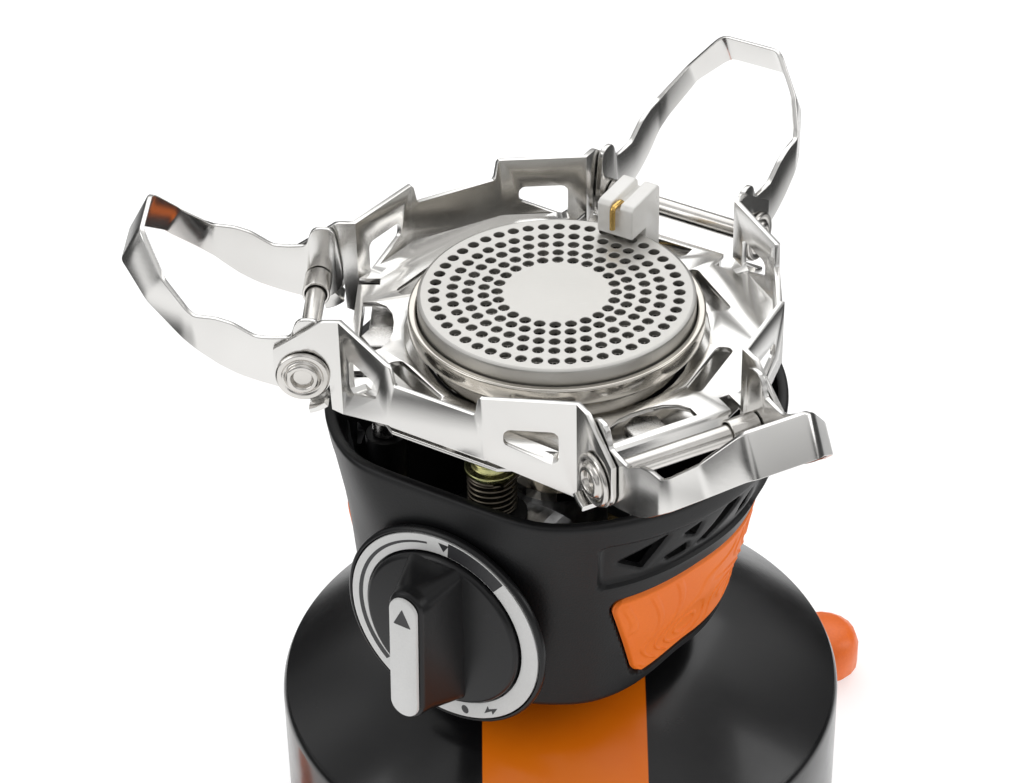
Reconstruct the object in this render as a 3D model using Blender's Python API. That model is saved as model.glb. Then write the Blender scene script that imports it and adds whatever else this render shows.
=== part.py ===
"""Backpacking canister stove: a burner with a control knob and igniter, a fold-out pot support,
a threaded gas canister and the tripod stabiliser under it.

Frame: metres, +Z up, origin on the ground under the canister's axis. The pot support's three
hinges face 180, 60 and -60 degrees, and the control knob faces -120 degrees.
"""
import math

import bmesh
import bpy
from mathutils import Matrix, Vector

MM = 0.001

# ---- driving dimensions -------------------------------------------------------------------
GAP = 0.3 * MM              # clearance between pieces that seat on each other
RUN_GAP = 0.35 * MM         # clearance around a turning or sliding piece
SHEET = 1.0 * MM            # stamped stainless steel of the pot support and its arms
SEGMENTS = 36               # facets around the large turned pieces
SMALL_SEGMENTS = 16         # facets around the small turned pieces

# gas canister
CAN_RADIUS = 55.4 * MM
CAN_SEAT_Z = 4.0 * MM       # canister rim above the ground
CAN_SIDE = 60.5 * MM        # height of the straight side
CAN_DOME = 17.0 * MM        # rise of the dome from the shoulder to the valve cup
CAN_WALL = 0.8 * MM
CUP_RADIUS = 17.3 * MM
CUP_RISE = 6.0 * MM         # valve cup rim above the dome
NOZZLE_RADIUS = 5.5 * MM    # threaded nozzle, 7/16 in UNEF
NOZZLE_RISE = 2.5 * MM      # nozzle above the cup rim

# stabiliser
LEG_REACH = 104.5 * MM
LEG_WIDTH = 12.0 * MM
FOOT_RADIUS = 8.5 * MM
FOOT_HEIGHT = 12.8 * MM
PAD_THICK = 1.2 * MM
HUB_RADIUS = 12.0 * MM
HUB_LAYER = 1.5 * MM
HUB_PIN_RADIUS = 4.0 * MM
HUB_HEAD_RADIUS = 7.0 * MM
LEG_AZ = (52.3, 172.3, -67.7)

# housing
HOUSING_HEIGHT = 45.0 * MM
RIM_RADIUS = 44.1 * MM
WAIST_RADIUS = 36.2 * MM    # half width across the finger grips
BASE_RADIUS = 32.4 * MM
NOSE_RADIUS = 39.5 * MM     # towards the knob, at the base
KNOB_FACE = 40.0 * MM       # axis to the flat face that carries the knob
HOUSING_WALL = 2.2 * MM
HOUSING_STEPS = 48
GRIP_DEPTH = 0.9 * MM
COLLAR_RADIUS = 14.0 * MM
POST_AZ = (180.0, -60.0, 95.0)
POST_X = 32.5 * MM
POST_BOSS = (18.0 * MM, 18.0 * MM, 11.0 * MM)
TOWER_SETBACK = 9.0 * MM    # knob face to the axis of the spring tower
TOWER_Y = 5.5 * MM
KNOB_AZ = -120.0
KNOB_RISE = 17.0 * MM       # knob axis above the housing base
KNOB_SHIFT = 1.0 * MM       # knob axis beside the middle of the flat face

# knob
BEZEL_RADIUS = 21.2 * MM
SCALE_RADIUS = 20.1 * MM
DIAL_RADIUS = 16.3 * MM
HANDLE_LENGTH = 28.8 * MM
HANDLE_WIDTH = 7.0 * MM
HANDLE_SHIFT = -0.7 * MM
HANDLE_REACH = 13.9 * MM    # handle face in front of the flat face
SPINDLE_RADIUS = 2.0 * MM
BOSS_RADIUS = 6.7 * MM
PIEZO_RADIUS = 4.0 * MM
PLUNGER_RADIUS = 1.6 * MM

# burner
BURNER_RISE = 21.0 * MM     # burner plate above the housing rim
PLATE_RADIUS = 25.6 * MM
FLANGE_STEP = 1.8 * MM      # flange radius beyond the plate
TUBE_RADIUS = 8.0 * MM
ELECTRODE_AZ = 60.0
ELECTRODE_HALF = 3.8 * MM

# pot support
HINGE_AZ = {"left": 180.0, "back": 60.0, "right": -60.0}
BEND_X = 38.45 * MM         # axis to the bend where a wing turns into an ear
HINGE_HALF = 17.2 * MM      # hinge centre to the outside of an ear
MID_APOTHEM = 41.0 * MM     # axis to the outside of a middle panel
MID_HALF = 10.0 * MM
WING_TOP = 4.3 * MM         # heights relative to the burner plate
MID_TOP = 0.3 * MM
WALL_BOTTOM = -8.4 * MM
HINGE_BOTTOM = -15.6 * MM
PIVOT_X = 45.3 * MM
PIVOT_DROP = 6.9 * MM       # pivot axis below the burner plate
PIN_RADIUS = 1.85 * MM
SLEEVE_RADIUS = 2.6 * MM
RIVET_RADIUS = 4.2 * MM

# ---- derived heights ----------------------------------------------------------------------
SHOULDER_Z = CAN_SEAT_Z + CAN_SIDE
DOME_TOP_Z = SHOULDER_Z + CAN_DOME
CUP_TOP_Z = DOME_TOP_Z + CUP_RISE
NOZZLE_TOP_Z = CUP_TOP_Z + NOZZLE_RISE
BASE_Z = CUP_TOP_Z + 0.5 * MM
RIM_Z = BASE_Z + HOUSING_HEIGHT
PLATE_Z = RIM_Z + BURNER_RISE
KNOB_Z = BASE_Z + KNOB_RISE
PIVOT_Z = PLATE_Z - PIVOT_DROP
FLANGE_RADIUS = PLATE_RADIUS + FLANGE_STEP
PAN_HOLE = FLANGE_RADIUS + 0.9 * MM
BOWL_RADIUS = PLATE_RADIUS - 2.4 * MM
REGULATOR_Z = KNOB_Z + 8.0 * MM
SHIELD_Z = PLATE_Z - 12.4 * MM
ARM_HALF = HINGE_HALF - SHEET - GAP
COLLAR_TOP_Z = NOZZLE_TOP_Z + 5.0 * MM
CORE_TOP_Z = REGULATOR_Z
TOWER_TOP_Z = KNOB_Z + 20.0 * MM
POST_FOOT_Z = RIM_Z - 11.0 * MM
PIEZO_SIDE = BOSS_RADIUS + GAP + PIEZO_RADIUS
DIAL_BACK = KNOB_FACE + 1.5 * MM
TOWER_X = KNOB_FACE - TOWER_SETBACK
VENT_RADIUS = RIM_RADIUS - 4.0 * MM
PIVOT_PLACE = (Matrix.Translation((PIVOT_X, 0, PIVOT_Z))
               @ Matrix.Rotation(math.radians(-90), 4, "X"))

for old in list(bpy.data.objects):
    bpy.data.objects.remove(old, do_unlink=True)


# ---- materials ----------------------------------------------------------------------------
def finish(name, rgb, roughness, metallic=0.0):
    material = bpy.data.materials.new(name)
    material.use_nodes = True
    shader = material.node_tree.nodes["Principled BSDF"]
    shader.inputs["Base Color"].default_value = (*rgb, 1.0)
    shader.inputs["Roughness"].default_value = roughness
    shader.inputs["Metallic"].default_value = metallic
    return material


# ---- modelling helpers --------------------------------------------------------------------
def turn(point, degrees):
    """Turns a point about the stove's axis."""
    return Matrix.Rotation(math.radians(degrees), 4, "Z") @ Vector(point)


def add(name, bm, material, place=None):
    """Makes the named object from a bmesh, with its faces pointing out."""
    bmesh.ops.recalc_face_normals(bm, faces=bm.faces)
    mesh = bpy.data.meshes.new(name)
    bm.to_mesh(mesh)
    bm.free()
    if material:
        mesh.materials.append(material)
    mesh.shade_smooth()
    mesh.set_sharp_from_angle(angle=math.radians(35))
    piece = bpy.data.objects.new(name, mesh)
    bpy.context.scene.collection.objects.link(piece)
    if place:
        piece.matrix_world = place
    return piece


def turned(profile, segments=SEGMENTS, closed=True):
    """Spins an (r, z) profile about Z. A closed profile is a ring, an open one meets the axis."""
    bm = bmesh.new()
    points = [bm.verts.new((r, 0.0, z)) for r, z in profile]
    pairs = list(zip(points, points[1:]))
    if closed:
        pairs.append((points[-1], points[0]))
    edges = [bm.edges.new(pair) for pair in pairs]
    bmesh.ops.spin(bm, geom=points + edges, cent=(0, 0, 0), axis=(0, 0, 1), angle=math.tau,
                   steps=segments, use_merge=True)
    bmesh.ops.remove_doubles(bm, verts=bm.verts, dist=0.001 * MM)
    return bm


def prism(outline, low, high):
    """Extrudes an (x, y) outline from z = low to z = high."""
    bm = bmesh.new()
    face = bm.faces.new([bm.verts.new((x, y, low)) for x, y in outline])
    grown = bmesh.ops.extrude_face_region(bm, geom=[face])
    top = [item for item in grown["geom"] if isinstance(item, bmesh.types.BMVert)]
    bmesh.ops.translate(bm, verts=top, vec=(0, 0, high - low))
    return bm


def loft(sections, closed=False):
    """Joins equal rings of points into one closed skin. The two end rings are filled, or joined
    to each other when closed."""
    bm = bmesh.new()
    rings = [[bm.verts.new(point) for point in section] for section in sections]
    count = len(rings[0])
    pairs = list(zip(rings, rings[1:]))
    if closed:
        pairs.append((rings[-1], rings[0]))
    else:
        bm.faces.new(rings[0])
        bm.faces.new(rings[-1])
    for ring, following in pairs:
        for i in range(count):
            j = (i + 1) % count
            bm.faces.new((ring[i], ring[j], following[j], following[i]))
    return bm


def combine(piece, tool, operation):
    """Adds an exact Boolean to a piece; the tool stays as a hidden guide."""
    tool.hide_render = True
    tool.display_type = "WIRE"
    modifier = piece.modifiers.new(operation.lower(), "BOOLEAN")
    modifier.operation = operation
    modifier.solver = "EXACT"
    modifier.object = tool
    return piece


def cut(piece, bm, place=None):
    return combine(piece, add("cutter", bm, None, place), "DIFFERENCE")


def join(piece, bm, place=None):
    return combine(piece, add("joined", bm, None, place), "UNION")


def gather(parts):
    """Puts several (bmesh, placement) pairs into one bmesh."""
    whole = bmesh.new()
    for part, place in parts:
        bmesh.ops.transform(part, matrix=place, verts=part.verts)
        mesh = bpy.data.meshes.new("gathered")
        part.to_mesh(mesh)
        part.free()
        whole.from_mesh(mesh)
        bpy.data.meshes.remove(mesh)
    return whole


def tube(path, radius, sides):
    """Round bar along a path of points, its rings turned as little as possible."""
    points = [Vector(p) for p in path]
    count = len(points)
    tangents = [(points[min(i + 1, count - 1)] - points[max(i - 1, 0)]).normalized()
                for i in range(count)]
    across = tangents[0].orthogonal().normalized()
    sections = []
    for point, tangent in zip(points, tangents):
        across = (across - tangent * across.dot(tangent)).normalized()
        other = tangent.cross(across)
        sections.append([point + (across * math.cos(math.tau * k / sides)
                                  + other * math.sin(math.tau * k / sides)) * radius
                         for k in range(sides)])
    return loft(sections)


def strip(stations, thickness):
    """Sheet bent through upright stations, pairs of a top and a foot point. The pairs trace the
    sheet's outer face, and its thickness lies to the left of the way they run."""
    middles = [(Vector(top) + Vector(foot)).to_2d() / 2 for top, foot in stations]
    ways = [(b - a).normalized() for a, b in zip(middles, middles[1:])]
    sections = []
    for i, (top, foot) in enumerate(stations):
        before, after = ways[max(i - 1, 0)], ways[min(i, len(ways) - 1)]
        normals = [Vector((-way.y, way.x)) for way in (before, after)]
        mitre = (normals[0] + normals[1]) / (1 + normals[0].dot(normals[1])) * thickness
        shift = Vector((mitre.x, mitre.y, 0))
        sections.append([Vector(top), Vector(foot), Vector(foot) + shift, Vector(top) + shift])
    return loft(sections)


def between(points, x):
    """Straight interpolation through points in rising x."""
    for (x0, y0), (x1, y1) in zip(points, points[1:]):
        if x <= x1:
            return y0 + (y1 - y0) * (x - x0) / (x1 - x0)
    return points[-1][1]


def smooth_between(points, x):
    """Catmull-Rom interpolation through points in rising x."""
    x = min(max(x, points[0][0]), points[-1][0])
    count = len(points)

    def slope(i):
        a, b = points[max(i - 1, 0)], points[min(i + 1, count - 1)]
        return (b[1] - a[1]) / (b[0] - a[0])

    for i, ((x0, y0), (x1, y1)) in enumerate(zip(points, points[1:])):
        if x <= x1:
            run = x1 - x0
            t = (x - x0) / run
            return ((1 + 2 * t) * (1 - t) ** 2 * y0 + t * (1 - t) ** 2 * run * slope(i)
                    + t * t * (3 - 2 * t) * y1 + t * t * (t - 1) * run * slope(i + 1))
    return points[-1][1]


def circle(radius, segments=SMALL_SEGMENTS, centre=(0.0, 0.0)):
    steps = (math.tau * i / segments for i in range(segments))
    return [(centre[0] + radius * math.cos(a), centre[1] + radius * math.sin(a)) for a in steps]


def rod(radius, low, high, segments=SMALL_SEGMENTS):
    return prism(circle(radius, segments), low, high)


def stadium(length, width, centre=(0.0, 0.0), segments=8):
    """Outline of a bar with round ends, its length along y."""
    half, r = (length - width) / 2, width / 2
    points = []
    for sign in (1, -1):
        for i in range(segments + 1):
            a = math.pi * i / segments
            points.append((centre[0] + sign * r * math.cos(a),
                           centre[1] + sign * (half + r * math.sin(a))))
    return points


def rounded(corners, radius, steps=4):
    """Rounds the corners of a polygon with arcs."""
    points = []
    count = len(corners)
    for i in range(count):
        corner = Vector(corners[i])
        before = (Vector(corners[i - 1]) - corner).normalized()
        after = (Vector(corners[(i + 1) % count]) - corner).normalized()
        half = before.angle(after) / 2
        back = radius / math.tan(half)
        start, end = corner + before * back, corner + after * back
        centre = corner + (before + after).normalized() * radius / math.sin(half)
        for k in range(steps + 1):
            arm = start.lerp(end, k / steps) - centre
            point = centre + arm.normalized() * radius
            points.append((point.x, point.y))
    return points


def knob_place(distance, across=0.0, height=KNOB_Z):
    """Placement with local Z pointing out through the knob face and local Y up."""
    outward = turn((1, 0, 0), KNOB_AZ)
    up = Vector((0, 0, 1))
    side = up.cross(outward)
    place = Matrix((side, up, outward)).transposed().to_4x4()
    place.translation = outward * distance + side * (across + KNOB_SHIFT) + up * height
    return place


def hinge_place(azimuth):
    return Matrix.Rotation(math.radians(azimuth), 4, "Z")


# ---- stabiliser ---------------------------------------------------------------------------
def leg_profile(layer_low):
    """Side view (r, z) of a leg's bar: hub layer, step down, seat for the rim and its hook."""
    low = PAD_THICK + GAP
    top = CAN_SEAT_Z - GAP
    hook = CAN_RADIUS + 0.5 * MM
    step = HUB_RADIUS + 6.0 * MM
    root = HUB_PIN_RADIUS + 2.5 * MM
    thin = 0.1 * MM
    end = LEG_REACH - FOOT_RADIUS
    return [
        (root, layer_low + thin), (step - 1.5 * MM, layer_low + thin), (step, low), (end, low + thin),
        (end, top + 3.0 * MM), (end - FOOT_RADIUS - 5.0 * MM, top), (hook + 5.0 * MM, top),
        (hook + 4.0 * MM, top + 7.0 * MM), (hook + 2.2 * MM, top + 8.5 * MM),
        (hook, top + 8.0 * MM), (hook, top), (step + 1.5 * MM, top),
        (step, layer_low + HUB_LAYER - thin), (root, layer_low + HUB_LAYER - thin),
    ]


def leg(name, azimuth, layer, material):
    """A fold-out leg: a moulded bar from a ring on the hub pin out to a round foot."""
    layer_low = PAD_THICK + GAP + layer * (HUB_LAYER + GAP)
    half = LEG_WIDTH / 2
    sections = [[(r, side * half, z) for r, z in leg_profile(layer_low)] for side in (-1, 1)]
    piece = add(name, loft(sections), material, hinge_place(azimuth))
    hole = HUB_PIN_RADIUS + RUN_GAP
    join(piece, turned([(hole, layer_low), (HUB_RADIUS, layer_low),
                        (HUB_RADIUS, layer_low + HUB_LAYER), (hole, layer_low + HUB_LAYER)], 24))
    low, high = PAD_THICK + GAP, FOOT_HEIGHT
    bulb = turned([(0, low), (FOOT_RADIUS - 1.0 * MM, low), (FOOT_RADIUS, low + 1.2 * MM),
                   (FOOT_RADIUS, high - 4.5 * MM), (FOOT_RADIUS - 0.9 * MM, high - 2.0 * MM),
                   (FOOT_RADIUS - 3.0 * MM, high - 0.5 * MM), (0, high)], 20, closed=False)
    shift = Matrix.Translation((LEG_REACH - FOOT_RADIUS, 0, 0))
    return join(piece, bulb, hinge_place(azimuth) @ shift)


def foot_pad(name, azimuth, material):
    shift = Matrix.Translation((LEG_REACH - FOOT_RADIUS, 0, 0))
    return add(name, rod(FOOT_RADIUS - 2.5 * MM, 0.0, PAD_THICK), material,
               hinge_place(azimuth) @ shift)


def stabiliser():
    orange = finish("orange_nylon", (0.90, 0.25, 0.04), 0.45)
    rubber = finish("foot_rubber", (0.03, 0.03, 0.03), 0.8)
    steel = finish("rivet_steel", (0.6, 0.6, 0.6), 0.3, 1.0)
    for letter, azimuth, layer in zip("abc", LEG_AZ, range(3)):
        leg("stabiliser_leg_" + letter, azimuth, layer, orange)
        foot_pad("foot_pad_" + letter, azimuth, rubber)
    top = PAD_THICK + GAP + 3 * (HUB_LAYER + GAP)
    head = HUB_HEAD_RADIUS
    add("stabiliser_rivet", turned([
        (0, 0), (head - 0.4 * MM, 0), (head, 0.4 * MM), (head, PAD_THICK),
        (HUB_PIN_RADIUS, PAD_THICK), (HUB_PIN_RADIUS, top), (head, top),
        (head - 1.0 * MM, top + 1.0 * MM), (0, top + 1.2 * MM)], 24, closed=False), steel)


# ---- canister -----------------------------------------------------------------------------
def canister():
    painted = finish("canister_paint", (0.02, 0.02, 0.02), 0.2)
    tin = finish("canister_tin", (0.55, 0.55, 0.56), 0.3, 1.0)
    rubber = finish("valve_rubber", (0.04, 0.04, 0.04), 0.7)
    mouth = CUP_RADIUS + GAP
    wall = CAN_WALL

    def dome(r, offset):
        share = max(r - mouth, 0.0) / (CAN_RADIUS - mouth)
        return DOME_TOP_Z - offset - CAN_DOME * share ** 1.6

    steps = 7
    reach = [CAN_RADIUS - 1.3 * MM + (mouth - CAN_RADIUS + 1.3 * MM) * i / steps
             for i in range(steps + 1)]
    outer = [(CAN_RADIUS - 3.5 * MM, CAN_SEAT_Z), (CAN_RADIUS - 1.5 * MM, CAN_SEAT_Z),
             (CAN_RADIUS - 0.8 * MM, CAN_SEAT_Z + 2.0 * MM),
             (CAN_RADIUS, CAN_SEAT_Z + 3.2 * MM), (CAN_RADIUS, SHOULDER_Z - 1.5 * MM),
             (CAN_RADIUS - 0.35 * MM, SHOULDER_Z - 0.3 * MM)]
    outer += [(r, dome(r, 0.0)) for r in reach]
    inner = [(max(r - 0.5 * wall, mouth), dome(r, wall)) for r in reversed(reach)]
    inner += [(CAN_RADIUS - wall, SHOULDER_Z - 2.0 * MM),
              (CAN_RADIUS - wall, CAN_SEAT_Z + 4.0 * MM),
              (CAN_RADIUS - 3.5 * MM, CAN_SEAT_Z + 2.0 * MM)]
    add("canister_shell", turned(outer + inner), painted)

    rim = CAN_RADIUS - 3.5 * MM - GAP
    add("canister_base", turned([
        (0, CAN_SEAT_Z + 8.0 * MM), (rim * 0.6, CAN_SEAT_Z + 6.5 * MM),
        (rim - 3.0 * MM, CAN_SEAT_Z + 2.0 * MM), (rim, CAN_SEAT_Z + 0.3 * MM),
        (rim, CAN_SEAT_Z + 3.0 * MM), (rim * 0.6, CAN_SEAT_Z + 6.5 * MM + wall),
        (0, CAN_SEAT_Z + 8.0 * MM + wall)], SEGMENTS, closed=False), tin)

    well = CUP_TOP_Z - 5.7 * MM
    bore = 2.2 * MM
    add("valve_cup", turned([
        (CUP_RADIUS, DOME_TOP_Z - 2.0 * MM), (CUP_RADIUS, CUP_TOP_Z - 1.2 * MM),
        (CUP_RADIUS - 0.7 * MM, CUP_TOP_Z - 0.2 * MM), (CUP_RADIUS - 1.7 * MM, CUP_TOP_Z),
        (CUP_RADIUS - 2.4 * MM, CUP_TOP_Z - 0.9 * MM), (CUP_RADIUS - 2.7 * MM, well + 0.8 * MM),
        (CUP_RADIUS - 4.3 * MM, well), (NOZZLE_RADIUS + 1.1 * MM, well),
        (NOZZLE_RADIUS, well + 0.8 * MM), (NOZZLE_RADIUS, NOZZLE_TOP_Z - 0.5 * MM),
        (NOZZLE_RADIUS - 0.7 * MM, NOZZLE_TOP_Z), (bore, NOZZLE_TOP_Z), (bore, well - 2.8 * MM),
        (4.5 * MM, well - 2.8 * MM), (4.7 * MM, well - 0.9 * MM),
        (CUP_RADIUS - 3.9 * MM, well - 0.9 * MM), (CUP_RADIUS - 1.2 * MM, DOME_TOP_Z - 2.0 * MM)],
        28), tin)
    add("valve_stem", turned([
        (0, well - 6.0 * MM), (3.6 * MM, well - 6.0 * MM), (3.6 * MM, well - 4.2 * MM),
        (bore - RUN_GAP, well - 4.2 * MM), (bore - RUN_GAP, NOZZLE_TOP_Z - 1.6 * MM),
        (0, NOZZLE_TOP_Z - 1.6 * MM)], SMALL_SEGMENTS, closed=False), tin)
    add("valve_gasket", turned([
        (bore, well - 3.9 * MM), (4.4 * MM, well - 3.9 * MM), (4.4 * MM, well - 3.1 * MM),
        (bore, well - 3.1 * MM)], SMALL_SEGMENTS), rubber)


# ---- housing shape ------------------------------------------------------------------------
def side_radius(z):
    """Half width of the housing across the finger grips, at height z."""
    rise = (z - BASE_Z) / HOUSING_HEIGHT
    waist = WAIST_RADIUS
    return smooth_between([
        (0.0, BASE_RADIUS), (0.06, BASE_RADIUS + 0.6 * MM), (0.18, waist - 2.5 * MM),
        (0.31, waist - 0.7 * MM), (0.51, waist + 1.1 * MM), (0.64, waist + 3.1 * MM),
        (0.76, waist + 5.3 * MM), (0.88, RIM_RADIUS - 1.4 * MM), (1.0, RIM_RADIUS - 0.9 * MM)], rise)


def housing_radius(angle, z):
    """Distance from the axis to the housing's outside, angle in degrees from the knob's
    direction. A bowl that narrows under the rim into two finger grips beside the knob face."""
    rise = (z - BASE_Z) / HOUSING_HEIGHT
    nose = smooth_between([
        (0.0, NOSE_RADIUS), (0.36, NOSE_RADIUS + 1.0 * MM), (0.64, NOSE_RADIUS + 2.0 * MM),
        (1.0, RIM_RADIUS)], rise)
    share = min(max((abs(angle) - 34.0) / 44.0, 0.0), 1.0)
    blend = share * share * (3 - 2 * share)
    free = nose * (1 - blend) + side_radius(z) * blend
    if abs(angle) > 75.0:
        return free
    flat = KNOB_FACE / math.cos(math.radians(angle))
    sharp = 40.0
    return (free ** -sharp + flat ** -sharp) ** (-1 / sharp)


def housing_point(angle, z, offset=0.0):
    """Point on the housing's outside, moved out by offset."""
    spread = math.radians(KNOB_AZ + angle)
    r = housing_radius(angle, z) + offset
    return Vector((r * math.cos(spread), r * math.sin(spread), z))


def housing_ring(z, offset):
    return [housing_point(-180.0 + 360.0 * i / HOUSING_STEPS, z, offset)
            for i in range(HOUSING_STEPS)]


def round_ring(radius, z):
    return [turn((radius, 0, z), KNOB_AZ - 180.0 + 360.0 * i / HOUSING_STEPS)
            for i in range(HOUSING_STEPS)]


def housing_window(corners, inward, outward):
    """Prism through the housing wall over (angle, z) corners, for a vent opening."""
    corners = rounded([(math.radians(a) * VENT_RADIUS, z) for a, z in corners], 0.55 * MM, 2)
    outline = []
    for corner, following in zip(corners, corners[1:] + corners[:1]):
        pieces = math.ceil((Vector(following) - Vector(corner)).length / (3.0 * MM))
        outline += [Vector(corner).lerp(Vector(following), k / pieces) for k in range(pieces)]
    return loft([[housing_point(math.degrees(s / VENT_RADIUS), z, offset) for s, z in outline]
                 for offset in (inward, outward)])


def housing_patch(corners, inward, outward, corner_cut):
    """Solid panel on the housing's outside. Its four (angle, z) corners run lower front,
    lower back, upper back, upper front, and are cut off by corner_cut."""
    (a0, z0), (a1, _), (a2, z3), (a3, _) = corners
    rise = z3 - z0
    columns = max(3, round(abs(a1 - a0) / 9.0))
    rows = [(0.0, corner_cut), (0.3 * corner_cut, 0.3 * corner_cut), (corner_cut, 0.0)]
    rows += [(rise * k / 4, 0.0) for k in range(1, 4)]
    rows += [(rise - height, inset) for height, inset in reversed(rows[:3])]
    rows.sort()
    spread = math.degrees(1 / WAIST_RADIUS) * (1 if a1 > a0 else -1)

    def skin(offset):
        grid = []
        for height, inset in rows:
            v = height / rise
            start = a0 * (1 - v) + a3 * v + inset * spread
            end = a1 * (1 - v) + a2 * v - inset * spread
            grid.append([housing_point(start + (end - start) * i / columns, z0 + height, offset)
                         for i in range(columns + 1)])
        return grid

    return slab(skin(inward), skin(outward))


def slab(inner, outer):
    """Closed solid between two equal grids of points."""
    bm = bmesh.new()
    skins = [[[bm.verts.new(p) for p in row] for row in grid] for grid in (inner, outer)]
    for grid in skins:
        for lower, upper in zip(grid, grid[1:]):
            for i in range(len(lower) - 1):
                bm.faces.new((lower[i], lower[i + 1], upper[i + 1], upper[i]))
    a, b = skins
    borders = [(a[0], b[0]), (a[-1], b[-1]), ([row[0] for row in a], [row[0] for row in b]),
               ([row[-1] for row in a], [row[-1] for row in b])]
    for inside, outside in borders:
        for i in range(len(inside) - 1):
            bm.faces.new((inside[i], inside[i + 1], outside[i + 1], outside[i]))
    return bm


def vent_recess(sign):
    low, high = RIM_Z - 16.5 * MM, RIM_Z - 5.5 * MM
    return [(sign * 41.0, low), (sign * 99.0, low), (sign * 99.0, high), (sign * 41.0, high)]


def vent_windows(sign):
    """Openings of one vent as (angle, z) corners: three large and two small."""
    z = RIM_Z
    windows = [
        [(46.0, -10.8), (60.0, -6.9), (53.5, -14.2)],
        [(59.5, -13.4), (66.5, -11.5), (67.6, -14.2), (61.5, -14.6)],
        [(64.5, -8.6), (70.5, -7.4), (69.0, -10.4)],
        [(70.5, -13.6), (74.5, -14.2), (85.0, -7.6), (79.5, -7.0)],
        [(86.5, -13.4), (91.5, -12.6), (91.5, -8.6), (86.5, -10.4)],
    ]
    return [[(sign * a, z + h * MM) for a, h in window] for window in windows]


def grip_corners(sign, grow=0.0):
    """Outline of one finger grip, grown by a clearance."""
    turn_by = math.degrees(grow / WAIST_RADIUS)
    low, high = RIM_Z - 41.6 * MM - grow, RIM_Z - 20.3 * MM + grow
    return [(sign * (53.0 - turn_by), low), (sign * (150.0 + turn_by), low),
            (sign * (150.0 + turn_by), high), (sign * (44.2 - turn_by), high)]


def housing(material):
    """Bowl with a floor on the collar, vents, pockets for the grips and bosses for the posts."""
    fillet = 0.7 * MM
    wall = HOUSING_WALL
    hole = COLLAR_RADIUS + GAP
    heights = [HOUSING_HEIGHT * share for share in (
        0.06, 0.2, 0.36, 0.53, 0.64, 0.74, 0.84, 0.97)]
    rings = [round_ring(hole, BASE_Z), housing_ring(BASE_Z, -1.3 * MM),
             housing_ring(BASE_Z + 0.8 * MM, -0.3 * MM)]
    rings += [housing_ring(BASE_Z + height, 0.0) for height in heights]
    rings += [housing_ring(RIM_Z, -fillet), housing_ring(RIM_Z, fillet - wall)]
    rings += [housing_ring(BASE_Z + height, -wall) for height in reversed(heights[1::2])]
    rings += [housing_ring(BASE_Z + wall, -wall), round_ring(hole, BASE_Z + wall)]
    piece = add("housing", loft(rings, closed=True), material)
    for azimuth, length in zip(POST_AZ, POST_BOSS):
        boss = rod(4.0 * MM, POST_FOOT_Z - length, POST_FOOT_Z, 16)
        join(piece, boss, hinge_place(azimuth) @ Matrix.Translation((POST_X, 0, 0)))
    here = Matrix.Identity(4)
    bores = [(rod(BOSS_RADIUS + RUN_GAP, 0.0, 14.0 * MM, 28), knob_place(KNOB_FACE - 8.0 * MM)),
             (rod(PLUNGER_RADIUS + RUN_GAP, 0.0, 14.0 * MM, 16),
              knob_place(KNOB_FACE - 8.0 * MM, -PIEZO_SIDE))]
    cut(piece, gather(bores))
    recesses = [housing_patch(vent_recess(sign), -1.0 * MM, 1.0 * MM, 2.0 * MM)
                for sign in (-1, 1)]
    pockets = [housing_patch(grip_corners(sign, GAP), -GRIP_DEPTH - GAP, 1.0 * MM, 3.0 * MM)
               for sign in (-1, 1)]
    cut(piece, gather([(bm, here) for bm in recesses + pockets]))
    windows = [housing_window(corners, -wall - 1.0 * MM, 1.0 * MM)
               for sign in (-1, 1) for corners in vent_windows(sign)]
    cut(piece, gather([(bm, here) for bm in windows]))
    return piece


def grips(material):
    for name, sign in (("grip_pad_right", 1), ("grip_pad_left", -1)):
        add(name, housing_patch(grip_corners(sign), -GRIP_DEPTH, 0.4 * MM, 3.0 * MM), material)


# ---- inlet and regulator ------------------------------------------------------------------
def collar_and_inlet(brass, rubber, steel):
    bore = NOZZLE_RADIUS + 0.4 * MM
    top = BASE_Z + HOUSING_WALL + GAP
    low = NOZZLE_TOP_Z - 7.0 * MM
    pin = 1.1 * MM
    add("threaded_collar", turned([
        (bore, low), (bore + 2.3 * MM, low), (bore + 2.3 * MM, BASE_Z), (COLLAR_RADIUS, BASE_Z),
        (COLLAR_RADIUS, top), (COLLAR_RADIUS + 3.0 * MM, top),
        (COLLAR_RADIUS + 3.0 * MM, top + 2.0 * MM), (10.0 * MM, top + 2.0 * MM),
        (10.0 * MM, COLLAR_TOP_Z), (pin + GAP, COLLAR_TOP_Z), (pin + GAP, NOZZLE_TOP_Z + 2.0 * MM),
        (bore, NOZZLE_TOP_Z + 2.0 * MM)], 24), brass)
    section = circle(0.7 * MM, 6, (NOZZLE_RADIUS - 0.85 * MM, NOZZLE_TOP_Z + 1.0 * MM))
    add("inlet_o_ring", turned(section, 16), rubber)
    add("inlet_pin", rod(pin, NOZZLE_TOP_Z - 1.3 * MM, COLLAR_TOP_Z - GAP, 12), steel)


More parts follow.
